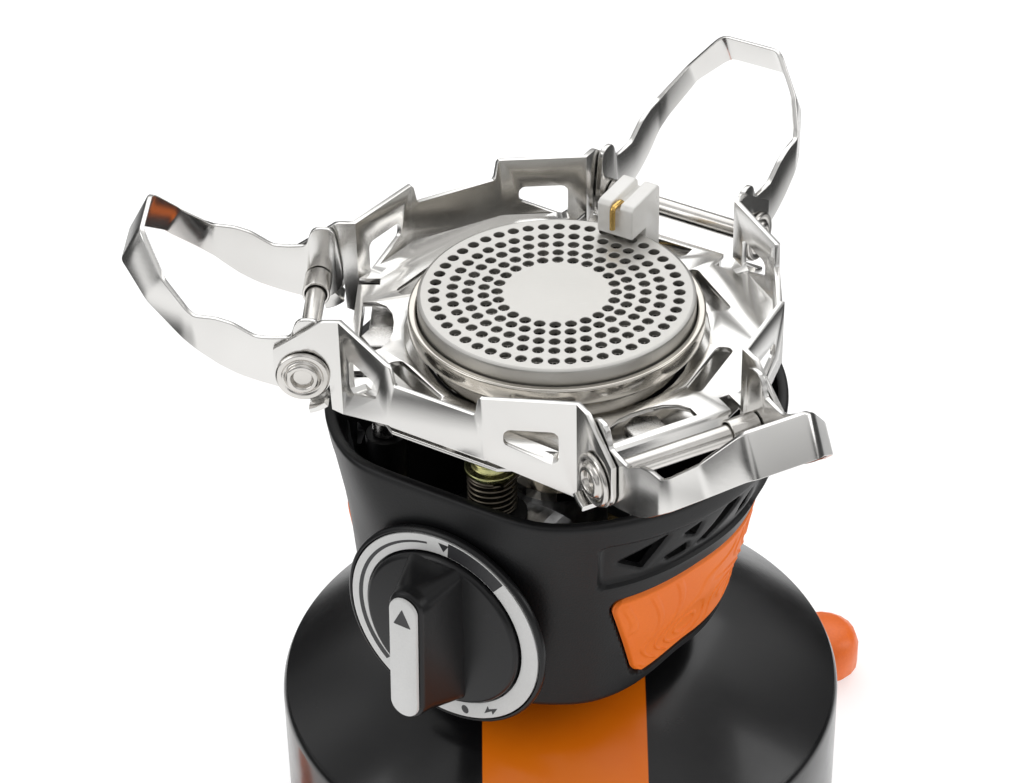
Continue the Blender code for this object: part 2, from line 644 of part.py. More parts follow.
def regulator(aluminium, rubber, steel, black):
    """Valve block: a core on the collar, a boss out to the knob and a spring tower."""
    upright = hinge_place(KNOB_AZ)
    body = add("regulator_body", rod(9.5 * MM, COLLAR_TOP_Z + GAP, CORE_TOP_Z, 28), aluminium,
               upright)
    join(body, rod(BOSS_RADIUS, 0.0, KNOB_FACE - 4.1 * MM, 24), knob_place(4.0 * MM))
    tower = Matrix.Translation(turn((TOWER_X, TOWER_Y, 0), KNOB_AZ))
    join(body, rod(6.0 * MM, KNOB_Z, TOWER_TOP_Z, 22), tower)
    bores = [(rod(SPINDLE_RADIUS + RUN_GAP, 0.0, KNOB_FACE, 16), knob_place(12.0 * MM)),
             (rod(3.7 * MM, 0.0, 4.0 * MM, 18), knob_place(KNOB_FACE - 3.0 * MM))]
    cut(body, bores[0][0], bores[0][1])
    cut(body, bores[1][0], bores[1][1])
    section = circle(0.55 * MM, 6, (SPINDLE_RADIUS + 0.85 * MM, 0.0))
    add("spindle_o_ring", turned(section, 12), rubber, knob_place(KNOB_FACE - 2.1 * MM))

    disc = TOWER_TOP_Z + GAP
    spring_low = disc + 0.8 * MM + GAP
    spring_high = spring_low + 8.0 * MM
    add("regulator_diaphragm", rod(6.0 * MM, disc, disc + 0.8 * MM, 22), rubber, tower)
    wire = 0.55 * MM
    coils = [(4.0 * MM * math.cos(math.tau * k / 10), 4.0 * MM * math.sin(math.tau * k / 10),
              spring_low + wire + (spring_high - spring_low - 2 * wire) * k / 40)
             for k in range(41)]
    add("regulator_spring", tube(coils, wire, 5), steel, tower)
    cap = spring_high + GAP
    add("spring_cap", turned([
        (0, spring_low), (1.4 * MM, spring_low), (1.4 * MM, cap), (5.0 * MM, cap),
        (5.0 * MM, cap + 2.2 * MM), (4.4 * MM, cap + 2.8 * MM), (0, cap + 2.8 * MM)],
        22, closed=False), black, tower)


# ---- burner -------------------------------------------------------------------------------
def burner(aluminium, steel, brass, mesh_steel):
    """Jet, mixing tube and the burner head with its perforated plate."""
    foot = CORE_TOP_Z + GAP
    jet = 3.5 * MM
    inner = TUBE_RADIUS - 1.4 * MM
    ledge = PLATE_Z - 5.0 * MM
    neck = TUBE_RADIUS + GAP
    tube_top = ledge - 16.0 * MM
    add("jet", turned([
        (0.5 * MM, foot), (jet, foot), (jet, foot + 4.0 * MM), (1.4 * MM, foot + 7.0 * MM),
        (0.5 * MM, foot + 7.0 * MM)], 16), brass)
    mixing = add("mixing_tube", turned([
        (jet + GAP, foot), (10.0 * MM, foot), (10.0 * MM, foot + 2.0 * MM),
        (TUBE_RADIUS, foot + 2.5 * MM), (TUBE_RADIUS, tube_top), (inner, tube_top),
        (inner, foot + 3.0 * MM), (jet + GAP, foot + 2.0 * MM)], 20), steel)
    for turned_by in (45.0, 135.0):
        port = Matrix.Translation((0, 0, foot + 8.5 * MM)) @ hinge_place(turned_by)
        cut(mixing, rod(2.4 * MM, -12.0 * MM, 12.0 * MM, 16),
            port @ Matrix.Rotation(math.radians(90), 4, "Y"))
    seat = PLATE_RADIUS + GAP
    bowl = BOWL_RADIUS
    add("burner_cup", turned([
        (neck, tube_top - 4.0 * MM), (neck + 1.3 * MM, tube_top - 4.0 * MM),
        (neck + 1.3 * MM, tube_top), (neck + 4.5 * MM, tube_top + 3.0 * MM),
        (bowl - 1.0 * MM, tube_top + 7.2 * MM), (bowl + 1.0 * MM, tube_top + 9.2 * MM),
        (bowl + 1.2 * MM, ledge - 2.6 * MM), (FLANGE_RADIUS, ledge - 1.5 * MM),
        (FLANGE_RADIUS, PLATE_Z - 3.3 * MM), (FLANGE_RADIUS - 0.3 * MM, PLATE_Z - 3.0 * MM),
        (seat, PLATE_Z - 3.0 * MM), (seat, ledge), (bowl, ledge), (bowl, tube_top + 10.0 * MM),
        (bowl - 1.6 * MM, tube_top + 8.3 * MM), (neck + 4.0 * MM, tube_top + 4.4 * MM),
        (neck, tube_top + 1.6 * MM)]), aluminium)
    skirt = PLATE_RADIUS - 1.0 * MM
    add("burner_plate", turned([
        (0, PLATE_Z), (PLATE_RADIUS - 0.6 * MM, PLATE_Z),
        (PLATE_RADIUS - 0.2 * MM, PLATE_Z - 0.2 * MM), (PLATE_RADIUS, PLATE_Z - 0.6 * MM),
        (PLATE_RADIUS, ledge + GAP), (skirt, ledge + GAP), (skirt, PLATE_Z - 1.1 * MM),
        (0, PLATE_Z - 1.1 * MM)], closed=False), steel)
    add("burner_mesh", rod(skirt - GAP, ledge + GAP, ledge + GAP + 0.5 * MM, 36), mesh_steel)


def heat_shield(steel):
    """Three-sided plate round the burner head, open at the back for the electrode."""
    outline = []
    for azimuth in (180.0, 60.0, -60.0):
        corners = [(28.8 * MM, -27.8 * MM), (35.2 * MM, -15.5 * MM), (35.2 * MM, 15.5 * MM),
                   (28.8 * MM, 27.8 * MM)]
        outline.append([turn((x, y, 0), azimuth) for x, y in corners])
    outline = [(p.x, p.y) for group in (outline[0], outline[2], outline[1]) for p in group]
    thick = 0.8 * MM
    shield = add("heat_shield", prism(outline, SHIELD_Z, SHIELD_Z + thick), steel)
    cut(shield, rod(BOWL_RADIUS + 1.5 * MM, SHIELD_Z - thick, SHIELD_Z + 2 * thick, SEGMENTS))
    notch = rounded([(20.0 * MM, -4.6 * MM), (34.0 * MM, -4.6 * MM), (34.0 * MM, 4.6 * MM),
                     (20.0 * MM, 4.6 * MM)], 1.0 * MM)
    cut(shield, prism(notch, SHIELD_Z - thick, SHIELD_Z + 2 * thick), hinge_place(ELECTRODE_AZ))


def shield_posts(steel):
    nut_low = SHIELD_Z + 0.8 * MM + GAP
    for name, azimuth in zip(("left", "right", "rear"), POST_AZ):
        place = hinge_place(azimuth) @ Matrix.Translation((POST_X, 0, 0))
        add("shield_post_" + name, rod(2.6 * MM, POST_FOOT_Z + GAP, SHIELD_Z - GAP, 14), steel,
            place)
        nut = add("shield_nut_" + name, prism(circle(3.9 * MM, 6), nut_low, nut_low + 1.3 * MM),
                  steel, place)
        nut.modifiers.new("edges", "BEVEL").width = 0.2 * MM


# ---- igniter ------------------------------------------------------------------------------
def igniter(ceramic, wire_metal, cable, black):
    """Ceramic electrode beside the burner, its lead and the piezo unit behind the knob."""
    x0 = FLANGE_RADIUS + GAP
    face = PLATE_RADIUS + 0.6 * MM
    top = PLATE_Z + 8.0 * MM
    back = x0 + 3.7 * MM
    tip = x0 - 6.7 * MM
    under = PLATE_Z + 0.7 * MM
    profile = [
        (x0, PLATE_Z - 10.5 * MM), (back, PLATE_Z - 10.5 * MM), (back, top - 0.8 * MM),
        (back - 0.8 * MM, top), (tip + 0.8 * MM, top - 0.5 * MM), (tip, top - 1.2 * MM),
        (tip, under), (face, under), (face, PLATE_Z - 2.7 * MM), (x0, PLATE_Z - 2.7 * MM)]
    place = hinge_place(ELECTRODE_AZ)
    half = ELECTRODE_HALF
    piece = add("electrode_ceramic", loft([[(x, side, z) for x, z in profile]
                                           for side in (-half, half)]), ceramic, place)
    groove = [(tip - 1.0 * MM, -0.9 * MM), (back + 1.0 * MM, -0.9 * MM),
              (back + 1.0 * MM, 0.9 * MM), (tip - 1.0 * MM, 0.9 * MM)]
    cut(piece, prism(groove, top - 1.8 * MM, top + 1.0 * MM), place)
    wire = 0.55 * MM
    run = top - 1.8 * MM + GAP + wire
    front, rear = tip - GAP - wire, back + GAP + wire
    low = SHIELD_Z - 4.0 * MM
    path = [(front, 0, run - 4.5 * MM), (front, 0, run - 0.7 * MM), (front + 0.7 * MM, 0, run),
            (rear - 0.7 * MM, 0, run), (rear, 0, run - 0.7 * MM), (rear, 0, low)]
    add("electrode_wire", tube(path, wire, 8), wire_metal, place)

    start = turn((rear, 0, low - GAP), ELECTRODE_AZ)
    piezo_back = 10.0 * MM
    route = [start, turn((rear, 0, low - 3.0 * MM), ELECTRODE_AZ)]
    route += [turn((x * MM, y * MM, KNOB_Z + z * MM), KNOB_AZ) for x, y, z in (
        (-30.0, -1.5, 24.0), (-26.0, -6.0, 15.0), (-17.0, -9.5, 6.0), (-6.0, -11.0, 1.0))]
    route += [turn((2.0 * MM, -PIEZO_SIDE, KNOB_Z), KNOB_AZ),
              turn((piezo_back - GAP, -PIEZO_SIDE, KNOB_Z), KNOB_AZ)]
    add("igniter_lead", tube(route, 1.1 * MM, 8), cable)

    body = add("piezo_body", rod(PIEZO_RADIUS, piezo_back, KNOB_FACE - 8.0 * MM, 20), black,
               knob_place(0.0, -PIEZO_SIDE))
    cut(body, rod(PLUNGER_RADIUS + RUN_GAP, 0.0, 20.0 * MM, 16),
        knob_place(piezo_back + 8.0 * MM, -PIEZO_SIDE))
    tip_reach = DIAL_BACK - GAP - piezo_back - 12.5 * MM
    add("piezo_plunger", rod(PLUNGER_RADIUS, 0.0, tip_reach, 16), wire_metal,
        knob_place(piezo_back + 12.5 * MM, -PIEZO_SIDE))


# ---- knob ---------------------------------------------------------------------------------
def knob(black, grey, metal):
    """Fixed bezel with its scale ring, and the turning dial with a bar handle."""
    face = KNOB_FACE + GAP
    place = knob_place(0.0)
    add("dial_bezel", turned([
        (DIAL_RADIUS - 1.3 * MM, face), (BEZEL_RADIUS - 0.4 * MM, face),
        (BEZEL_RADIUS, face + 0.4 * MM), (BEZEL_RADIUS, face + 1.3 * MM),
        (BEZEL_RADIUS - 0.4 * MM, face + 1.7 * MM), (SCALE_RADIUS + GAP, face + 1.7 * MM),
        (SCALE_RADIUS + GAP, face + 0.8 * MM), (DIAL_RADIUS - 1.3 * MM, face + 0.8 * MM)],
        SEGMENTS), black, place)
    ring = face + 0.8 * MM + GAP
    add("dial_ring", turned([
        (DIAL_RADIUS + 0.4 * MM, ring), (SCALE_RADIUS, ring), (SCALE_RADIUS, ring + 0.7 * MM),
        (DIAL_RADIUS + 0.4 * MM, ring + 0.7 * MM)], SEGMENTS), grey, place)

    handle_low = DIAL_BACK + 1.4 * MM
    handle_top = KNOB_FACE + HANDLE_REACH - 1.0 * MM
    dial = add("knob", turned([
        (0, DIAL_BACK), (DIAL_RADIUS, DIAL_BACK), (DIAL_RADIUS, DIAL_BACK + 1.2 * MM),
        (DIAL_RADIUS - 0.6 * MM, DIAL_BACK + 1.8 * MM), (0, DIAL_BACK + 1.8 * MM)],
        SEGMENTS, closed=False), black, place)
    levels = [(handle_low, -1.2, 3.0, 2.0), (handle_low + 1.5 * MM, -0.9, 1.9, 1.5),
              (handle_top - 1.0 * MM, 0.0, 0.0, 0.2), (handle_top, -0.8, -0.8, 0.2)]
    sections = []
    for height, longer, wider, raised in levels:
        outline = stadium(HANDLE_LENGTH + longer * MM, HANDLE_WIDTH + wider * MM,
                          (HANDLE_SHIFT, raised * MM))
        sections.append([(x, y, height) for x, y in outline])
    join(dial, loft(sections), place)
    cut(dial, rod(SPINDLE_RADIUS + GAP, DIAL_BACK - 1.0 * MM, DIAL_BACK + 6.0 * MM, 16), place)
    outline = stadium(HANDLE_LENGTH - 1.6 * MM, HANDLE_WIDTH - 1.2 * MM,
                      (HANDLE_SHIFT, 0.2 * MM))
    add("knob_face", prism(outline, handle_top + GAP, KNOB_FACE + HANDLE_REACH), grey, place)
    add("valve_spindle", rod(SPINDLE_RADIUS, 13.0 * MM, DIAL_BACK + 5.7 * MM, 16), metal, place)


# ---- pot support --------------------------------------------------------------------------
def rel(z):
    """Height from a height given above the burner plate."""
    return PLATE_Z + z


def ring_stations():
    """Upright stations of one third of the wall, from one ear's tip to the next ear's tip, in
    the frame of the middle panel. Each is a pair: top point and foot point."""
    lobe = 5.2 * MM
    neck = PIVOT_X - 4.9 * MM
    top = [(BEND_X, WING_TOP), (PIVOT_X - 3.7 * MM, WING_TOP),
           (PIVOT_X - 0.9 * MM, WING_TOP - 2.0 * MM), (PIVOT_X + 1.7 * MM, WING_TOP - 3.7 * MM),
           (PIVOT_X + 5.1 * MM, WING_TOP - 5.9 * MM)]
    half = []
    for step in (5.1, 4.5, 3.6, 2.2, 0.8, -0.8, -2.2, -3.4, -4.3, -4.7):
        x = PIVOT_X + step * MM
        foot = -PIVOT_DROP - math.sqrt(lobe ** 2 - (x - PIVOT_X) ** 2)
        half.append(((x, HINGE_HALF), between(top, x), foot))
    half.append(((neck, HINGE_HALF), WING_TOP, HINGE_BOTTOM + 1.1 * MM))
    half.append(((BEND_X, HINGE_HALF), WING_TOP, HINGE_BOTTOM))
    stations = []
    for (x, y), high, low in half:
        point = turn((x, y, 0), -60.0)
        stations.append((point.x, point.y, high, low))
    for y, high in ((-MID_HALF, WING_TOP), (-9.5 * MM, WING_TOP), (-9.1 * MM, WING_TOP - 0.5 * MM),
                    (-8.5 * MM, MID_TOP + 0.5 * MM), (-8.1 * MM, MID_TOP)):
        stations.append((MID_APOTHEM, y, high, WALL_BOTTOM))
    stations += [(x, -y, high, low) for x, y, high, low in reversed(stations)]
    return [((x, y, rel(high)), (x, y, rel(low))) for x, y, high, low in stations]


def wing_line(offset):
    """Bend and crease of a wing in its hinge's frame, moved inward by offset."""
    bend = Vector((BEND_X, HINGE_HALF))
    crease = turn((MID_APOTHEM, -MID_HALF, 0), 60.0).to_2d()
    along = (crease - bend).normalized()
    inward = Vector((-along.y, along.x))
    return bend + inward * offset, crease + inward * offset, along, inward


def wing_window(side):
    """Cutter for the four-sided opening in the wing on one side of a hinge."""
    bend, _, along, inward = wing_line(0.0)
    corners = rounded([(3.1 * MM, -1.8 * MM), (12.7 * MM, -1.8 * MM), (12.7 * MM, -4.9 * MM),
                       (3.1 * MM, -9.3 * MM)], 1.3 * MM, 3)
    sections = []
    for depth in (-2.0 * MM, 3.0 * MM):
        base = bend + inward * depth
        sections.append([((base + along * s).x, side * (base + along * s).y, rel(z))
                         for s, z in corners])
    return loft(sections)


def pan_outline():
    """Edge of the pan, half a sheet inside the walls, with slots for the arms' cheeks."""
    bend, crease, _, _ = wing_line(0.5 * SHEET)
    lip = BEND_X - 0.6 * MM
    back = PIVOT_X - 11.6 * MM
    inside, outside = ARM_HALF - SHEET - 0.6 * MM, ARM_HALF + 0.5 * MM
    half = [(lip, inside), (back, inside), (back, outside), (bend.x - 0.3 * MM, outside),
            (bend.x, bend.y - 0.5 * SHEET), (crease.x, crease.y)]
    points = []
    for azimuth in (180.0, -60.0, 60.0):
        for x, y in [(x, -y) for x, y in reversed(half)] + half:
            point = turn((x, y, 0), azimuth)
            points.append((point.x, point.y))
    return points


def sector(inner, outer, start, end, steps=6):
    """Outline of a piece of a ring between two angles in degrees."""
    angles = [math.radians(start + (end - start) * k / steps) for k in range(steps + 1)]
    points = [(outer * math.cos(a), outer * math.sin(a)) for a in angles]
    return points + [(inner * math.cos(a), inner * math.sin(a)) for a in reversed(angles)]


def pan_openings():
    """Burner hole, six slots round it and an arch behind each hinge."""
    low, high = rel(WALL_BOTTOM) - 2.0 * MM, rel(WALL_BOTTOM) + 2.0 * MM
    parts = [(rod(PAN_HOLE, low, high, SEGMENTS), Matrix.Identity(4))]
    arch = [(36.4, -8.3), (36.4, 8.3), (34.0, 8.3), (32.0, 7.0), (30.7, 4.6), (30.2, 1.6),
            (30.2, -1.6), (30.7, -4.6), (32.0, -7.0), (34.0, -8.3)]
    for azimuth in HINGE_AZ.values():
        place = hinge_place(azimuth)
        parts.append((prism([(x * MM, y * MM) for x, y in arch], low, high), place))
        for start, end in ((21.0, 49.0), (-49.0, -21.0)):
            slot = rounded(sector(PAN_HOLE + 1.7 * MM, PAN_HOLE + 5.0 * MM, start, end, 1),
                           1.2 * MM, 3)
            parts.append((prism(slot, low, high), place))
    return gather(parts)


def pot_ring(steel):
    """Stamped wall in three spans on a pan, with ears for the arms and feet on the shield."""
    piece = None
    for azimuth in (0.0, 120.0, 240.0):
        span = strip(ring_stations(), SHEET)
        if piece is None:
            piece = add("pot_ring", span, steel)
        else:
            join(piece, span, hinge_place(azimuth))
    pan_low = rel(WALL_BOTTOM) - 0.6 * MM
    join(piece, prism(pan_outline(), pan_low, pan_low + SHEET))
    lip_half = ARM_HALF - SHEET - 0.8 * MM
    lip_x = BEND_X - 1.0 * MM
    lip = [(lip_x - SHEET, -lip_half), (lip_x, -lip_half), (lip_x, lip_half),
           (lip_x - SHEET, lip_half)]
    feet_low = SHIELD_Z + 0.8 * MM + GAP
    for azimuth in HINGE_AZ.values():
        place = hinge_place(azimuth)
        join(piece, prism(lip, pan_low - 2.6 * MM, pan_low + 0.5 * SHEET), place)
        foot = Matrix.Translation((35.5 * MM, 0, 0))
        join(piece, rod(1.6 * MM, feet_low, pan_low + 0.5 * SHEET, 12),
             hinge_place(azimuth + 60.0) @ foot)
    cut(piece, pan_openings())
    notch = [(PAN_HOLE - 2.0 * MM, -4.5 * MM), (33.5 * MM, -4.5 * MM), (33.5 * MM, 4.5 * MM),
             (PAN_HOLE - 2.0 * MM, 4.5 * MM)]
    cut(piece, prism(notch, pan_low - 1.0 * MM, pan_low + 2.0 * MM), hinge_place(ELECTRODE_AZ))
    windows = [(wing_window(side), hinge_place(azimuth))
               for azimuth in HINGE_AZ.values() for side in (-1, 1)]
    cut(piece, gather(windows))
    reach = HINGE_HALF + 2.0 * MM
    bores = [(rod(PIN_RADIUS + RUN_GAP, -reach, reach, 16), hinge_place(azimuth) @ PIVOT_PLACE)
             for azimuth in HINGE_AZ.values()]
    cut(piece, gather(bores))


def arm_stations():
    """Upright stations of an arm from one cheek round the tip to the other, in the hinge's
    frame: (y, top x, top z, foot x, foot z), heights above the burner plate."""
    half = ARM_HALF
    cheek = [(-4.4, 2.4, -4.4, -1.6), (-3.4, 10.0, -3.5, -3.1), (-2.4, 10.8, -2.2, -4.1),
             (0.2, 10.8, 0.0, -4.6), (1.1, 9.9, 1.4, -4.5), (2.0, 7.0, 2.9, -4.2),
             (5.5, 6.9, 5.5, -3.4), (8.2, 7.1, 8.6, -2.3), (12.2, 9.9, 11.7, -1.0),
             (15.2, 11.0, 15.0, 1.0), (19.1, 11.5, 19.0, 4.3)]
    out = [(half, x, z, fx, fz) for x, z, fx, fz in
           [[value * MM for value in row] for row in cheek]]
    out += [(half - 0.7 * MM, 20.6 * MM, 12.6 * MM, 21.6 * MM, 6.4 * MM),
            (half - 3.8 * MM, 25.0 * MM, 17.3 * MM, 28.0 * MM, 12.4 * MM),
            (7.3 * MM, 28.4 * MM, 23.0 * MM, 32.0 * MM, 16.4 * MM),
            (6.0 * MM, 29.1 * MM, 23.8 * MM, 33.0 * MM, 17.0 * MM)]
    return [(-y, x, z, fx, fz) for y, x, z, fx, fz in out] + list(reversed(out))


def arm(name, azimuth, steel):
    """Bent sheet arm that folds in about its pivot, with a stop tab against the ear's neck."""
    place = hinge_place(azimuth)
    stations = [((PIVOT_X + x, y, PIVOT_Z + z), (PIVOT_X + fx, y, PIVOT_Z + fz))
                for y, x, z, fx, fz in arm_stations()]
    piece = add(name, strip(stations, SHEET), steel, place)
    inner, outer = 6.0 * MM, 7.1 * MM
    for side in (-1, 1):
        web = prism(sector(3.4 * MM, outer, -262.0, -230.0, 4), side * (ARM_HALF - 0.1 * MM),
                    side * (ARM_HALF - SHEET + 0.1 * MM))
        join(piece, web, place @ PIVOT_PLACE)
        tab = prism(sector(inner, outer - 0.02 * MM, -261.0, -231.0, 4),
                    side * (ARM_HALF - 0.5 * SHEET), side * (HINGE_HALF + 2.2 * MM))
        join(piece, tab, place @ PIVOT_PLACE)
    reach = HINGE_HALF + 4.0 * MM
    cut(piece, rod(PIN_RADIUS + RUN_GAP, -reach, reach, 16), place @ PIVOT_PLACE)
    return piece


def hinge_pin(name, azimuth, steel):
    """Riveted pin through both ears, with a socketed head at each end."""
    head = HINGE_HALF + GAP
    bead = RIVET_RADIUS - 1.3 * MM
    socket = 2.0 * MM
    half = [(PIN_RADIUS, head), (RIVET_RADIUS, head), (RIVET_RADIUS, head + 0.6 * MM),
            (RIVET_RADIUS - 0.3 * MM, head + 0.8 * MM), (bead, head + 0.8 * MM),
            (bead, head + 1.3 * MM), (bead - 0.3 * MM, head + 1.5 * MM),
            (socket, head + 1.5 * MM), (socket, head + 0.4 * MM), (0, head + 0.4 * MM)]
    profile = [(r, -y) for r, y in reversed(half)] + half
    add(name, turned(profile, 14, closed=False), steel, hinge_place(azimuth) @ PIVOT_PLACE)


def pot_support(steel):
    pot_ring(steel)
    inside = ARM_HALF - SHEET - GAP
    sleeve = [(PIN_RADIUS + GAP, 0), (SLEEVE_RADIUS, 0), (SLEEVE_RADIUS, 5.5 * MM),
              (PIN_RADIUS + GAP, 5.5 * MM)]
    for side, azimuth in HINGE_AZ.items():
        hinge_pin("arm_pin_" + side, azimuth, steel)
        shift = Matrix.Translation((0, 0, -inside if side == "left" else inside - 5.5 * MM))
        add("pivot_sleeve_" + side, turned(sleeve, 18), steel,
            hinge_place(azimuth) @ PIVOT_PLACE @ shift)
        arm("arm_" + side, azimuth, steel)


def main():
    black = finish("housing_plastic", (0.025, 0.025, 0.028), 0.45)
    orange = finish("grip_orange", (0.9, 0.22, 0.03), 0.5)
    grey = finish("scale_grey", (0.62, 0.62, 0.6), 0.4)
    steel = finish("stainless_steel", (0.62, 0.61, 0.59), 0.3, 1.0)
    plate = finish("burner_steel", (0.5, 0.48, 0.45), 0.35, 1.0)
    aluminium = finish("cast_aluminium", (0.6, 0.6, 0.62), 0.4, 1.0)
    brass = finish("brass", (0.7, 0.5, 0.2), 0.35, 1.0)
    rubber = finish("seal_rubber", (0.03, 0.03, 0.03), 0.7)
    ceramic = finish("electrode_ceramic", (0.85, 0.83, 0.78), 0.3)
    cable = finish("lead_insulation", (0.75, 0.73, 0.7), 0.5)
    stabiliser()
    canister()
    housing(black)
    grips(orange)
    collar_and_inlet(brass, rubber, plate)
    regulator(aluminium, rubber, plate, black)
    burner(aluminium, plate, brass, steel)
    heat_shield(steel)
    shield_posts(plate)
    igniter(ceramic, brass, cable, black)
    knob(black, grey, plate)
    pot_support(steel)


main()
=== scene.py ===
import math

import bmesh
import bpy
import mathutils.geometry
import numpy as np
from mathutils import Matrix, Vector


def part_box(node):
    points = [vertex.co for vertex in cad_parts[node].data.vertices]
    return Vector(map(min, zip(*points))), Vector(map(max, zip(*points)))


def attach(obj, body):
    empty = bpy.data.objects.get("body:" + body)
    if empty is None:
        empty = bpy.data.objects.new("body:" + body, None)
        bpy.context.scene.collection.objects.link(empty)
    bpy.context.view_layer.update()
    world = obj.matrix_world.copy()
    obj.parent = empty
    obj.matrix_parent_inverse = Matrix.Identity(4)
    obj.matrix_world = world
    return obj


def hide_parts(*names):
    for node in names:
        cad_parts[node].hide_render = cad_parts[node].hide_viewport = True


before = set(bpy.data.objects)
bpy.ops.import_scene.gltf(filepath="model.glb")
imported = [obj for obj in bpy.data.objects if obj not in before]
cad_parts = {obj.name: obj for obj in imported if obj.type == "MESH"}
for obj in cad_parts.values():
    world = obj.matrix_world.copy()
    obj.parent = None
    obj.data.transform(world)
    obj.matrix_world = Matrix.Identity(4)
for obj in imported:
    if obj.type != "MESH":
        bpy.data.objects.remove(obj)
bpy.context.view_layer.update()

MM = 0.001

# ---- Stabiliser ---------------------------------------------------------------------------
# Three moulded legs of glass-filled nylon turn on one steel rivet under the canister.
# Each leg is a bar with a hook for the canister's rim, ending in a round foot on a rubber pad.
ORANGE_NYLON = (0.93, 0.185, 0.012)


def steps_over(rows, columns, wrap_rows, wrap_columns):
    """Quads of a rows x columns grid of points as one index array."""
    i = np.arange(rows if wrap_rows else rows - 1)[:, None]
    j = np.arange(columns if wrap_columns else columns - 1)[None, :]
    below, beside = (i + 1) % rows, (j + 1) % columns
    corners = (i * columns + j, i * columns + beside, below * columns + beside,
               below * columns + j)
    return np.stack(np.broadcast_arrays(*corners), axis=-1).reshape(-1, 4)


def skinned(name, grids, place=None, crease=32.0):
    """One mesh from point grids (grid, wrap_rows, wrap_columns), its doubles merged and its
    faces turned outwards. Edges sharper than crease degrees stay sharp."""
    points, faces, start = [], [], 0
    for grid, wrap_rows, wrap_columns in grids:
        rows, columns = grid.shape[:2]
        faces.append(steps_over(rows, columns, wrap_rows, wrap_columns) + start)
        points.append(grid.reshape(-1, 3))
        start += rows * columns
    points = np.concatenate(points)
    if place is not None:
        points = points @ place[:3, :3].T + place[:3, 3]
    mesh = bpy.data.meshes.new(name)
    mesh.from_pydata(points, [], np.concatenate(faces).tolist())
    return cleaned(name, mesh, crease)


def cleaned(name, mesh, crease):
    """Object of a mesh with merged doubles, outward faces and smooth shading."""
    bm = bmesh.new()
    bm.from_mesh(mesh)
    bmesh.ops.remove_doubles(bm, verts=bm.verts, dist=0.002 * MM)
    bmesh.ops.recalc_face_normals(bm, faces=bm.faces)
    bm.to_mesh(mesh)
    bm.free()
    mesh.shade_smooth()
    mesh.set_sharp_from_angle(angle=math.radians(crease))
    piece = bpy.data.objects.new(name, mesh)
    bpy.context.scene.collection.objects.link(piece)
    return piece


def fitted(piece, body, slot, material, *nodes):
    """Gives a piece its finish and its body, and hides the nodes that it stands for."""
    piece.data.materials.clear()
    piece.data.materials.append(material)
    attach(piece, body)
    if nodes:
        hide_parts(*nodes)
    return piece


def softened(node, edge, name, crease=30.0, segments=2):
    """Copy of a CAD node, merged, its coplanar facets joined, its edges rounded by edge."""
    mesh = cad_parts[node].data.copy()
    mesh.name = name
    bm = bmesh.new()
    bm.from_mesh(mesh)
    bmesh.ops.remove_doubles(bm, verts=bm.verts, dist=0.002 * MM)
    bmesh.ops.dissolve_limit(bm, angle_limit=math.radians(0.6), verts=bm.verts, edges=bm.edges)
    bm.to_mesh(mesh)
    bm.free()
    mesh.shade_smooth()
    piece = bpy.data.objects.new(name, mesh)
    bpy.context.scene.collection.objects.link(piece)
    bevel = piece.modifiers.new("rounded edges", "BEVEL")
    bevel.width = edge
    bevel.segments = segments
    bevel.limit_method = "ANGLE"
    bevel.angle_limit = math.radians(crease)
    bevel.harden_normals = True
    return piece


def turned_by(degrees):
    """4 x 4 turn about the stove's axis."""
    c, s = math.cos(math.radians(degrees)), math.sin(math.radians(degrees))
    return np.array([[c, -s, 0, 0], [s, c, 0, 0], [0, 0, 1, 0], [0, 0, 0, 1.0]])


def node_group(name, takes, gives):
    """Empty shader group with named inputs (name, kind, value) and outputs (name, kind)."""
    group = bpy.data.node_groups.new(name, "ShaderNodeTree")
    for label, kind, value in takes:
        socket = group.interface.new_socket(label, in_out="INPUT", socket_type=kind)
        if value is not None:
            socket.default_value = value
    for label, kind in gives:
        group.interface.new_socket(label, in_out="OUTPUT", socket_type=kind)
    entry = group.nodes.new("NodeGroupInput")
    out = group.nodes.new("NodeGroupOutput")
    return group, entry, out


def noise(tree, vector, scale, detail=3.0, roughness=0.55):
    """Value of a noise texture."""
    node = tree.nodes.new("ShaderNodeTexNoise")
    node.inputs["Scale"].default_value = scale
    node.inputs["Detail"].default_value = detail
    node.inputs["Roughness"].default_value = roughness
    tree.links.new(vector, node.inputs["Vector"])
    return node.outputs["Fac"]


def stretched(tree, vector, scale, turn=(0.0, 0.0, 0.0)):
    """Coordinates scaled and turned."""
    node = tree.nodes.new("ShaderNodeMapping")
    node.inputs["Scale"].default_value = scale
    node.inputs["Rotation"].default_value = turn
    tree.links.new(vector, node.inputs["Vector"])
    return node.outputs["Vector"]


def spread(tree, value, low, high, to_low=0.0, to_high=1.0):
    """A value's range low to high carried over to another range, clamped."""
    node = tree.nodes.new("ShaderNodeMapRange")
    node.inputs["From Min"].default_value = low
    node.inputs["From Max"].default_value = high
    node.inputs["To Min"].default_value = to_low
    node.inputs["To Max"].default_value = to_high
    tree.links.new(value, node.inputs["Value"])
    return node.outputs["Result"]


def worked(tree, operation, a, b=None, c=None):
    """Math node on sockets or numbers."""
    node = tree.nodes.new("ShaderNodeMath")
    node.operation = operation
    for i, value in enumerate((a, b, c)):
        if value is None:
            continue
        if isinstance(value, (int, float)):
            node.inputs[i].default_value = value
        else:
            tree.links.new(value, node.inputs[i])
    return node.outputs["Value"]


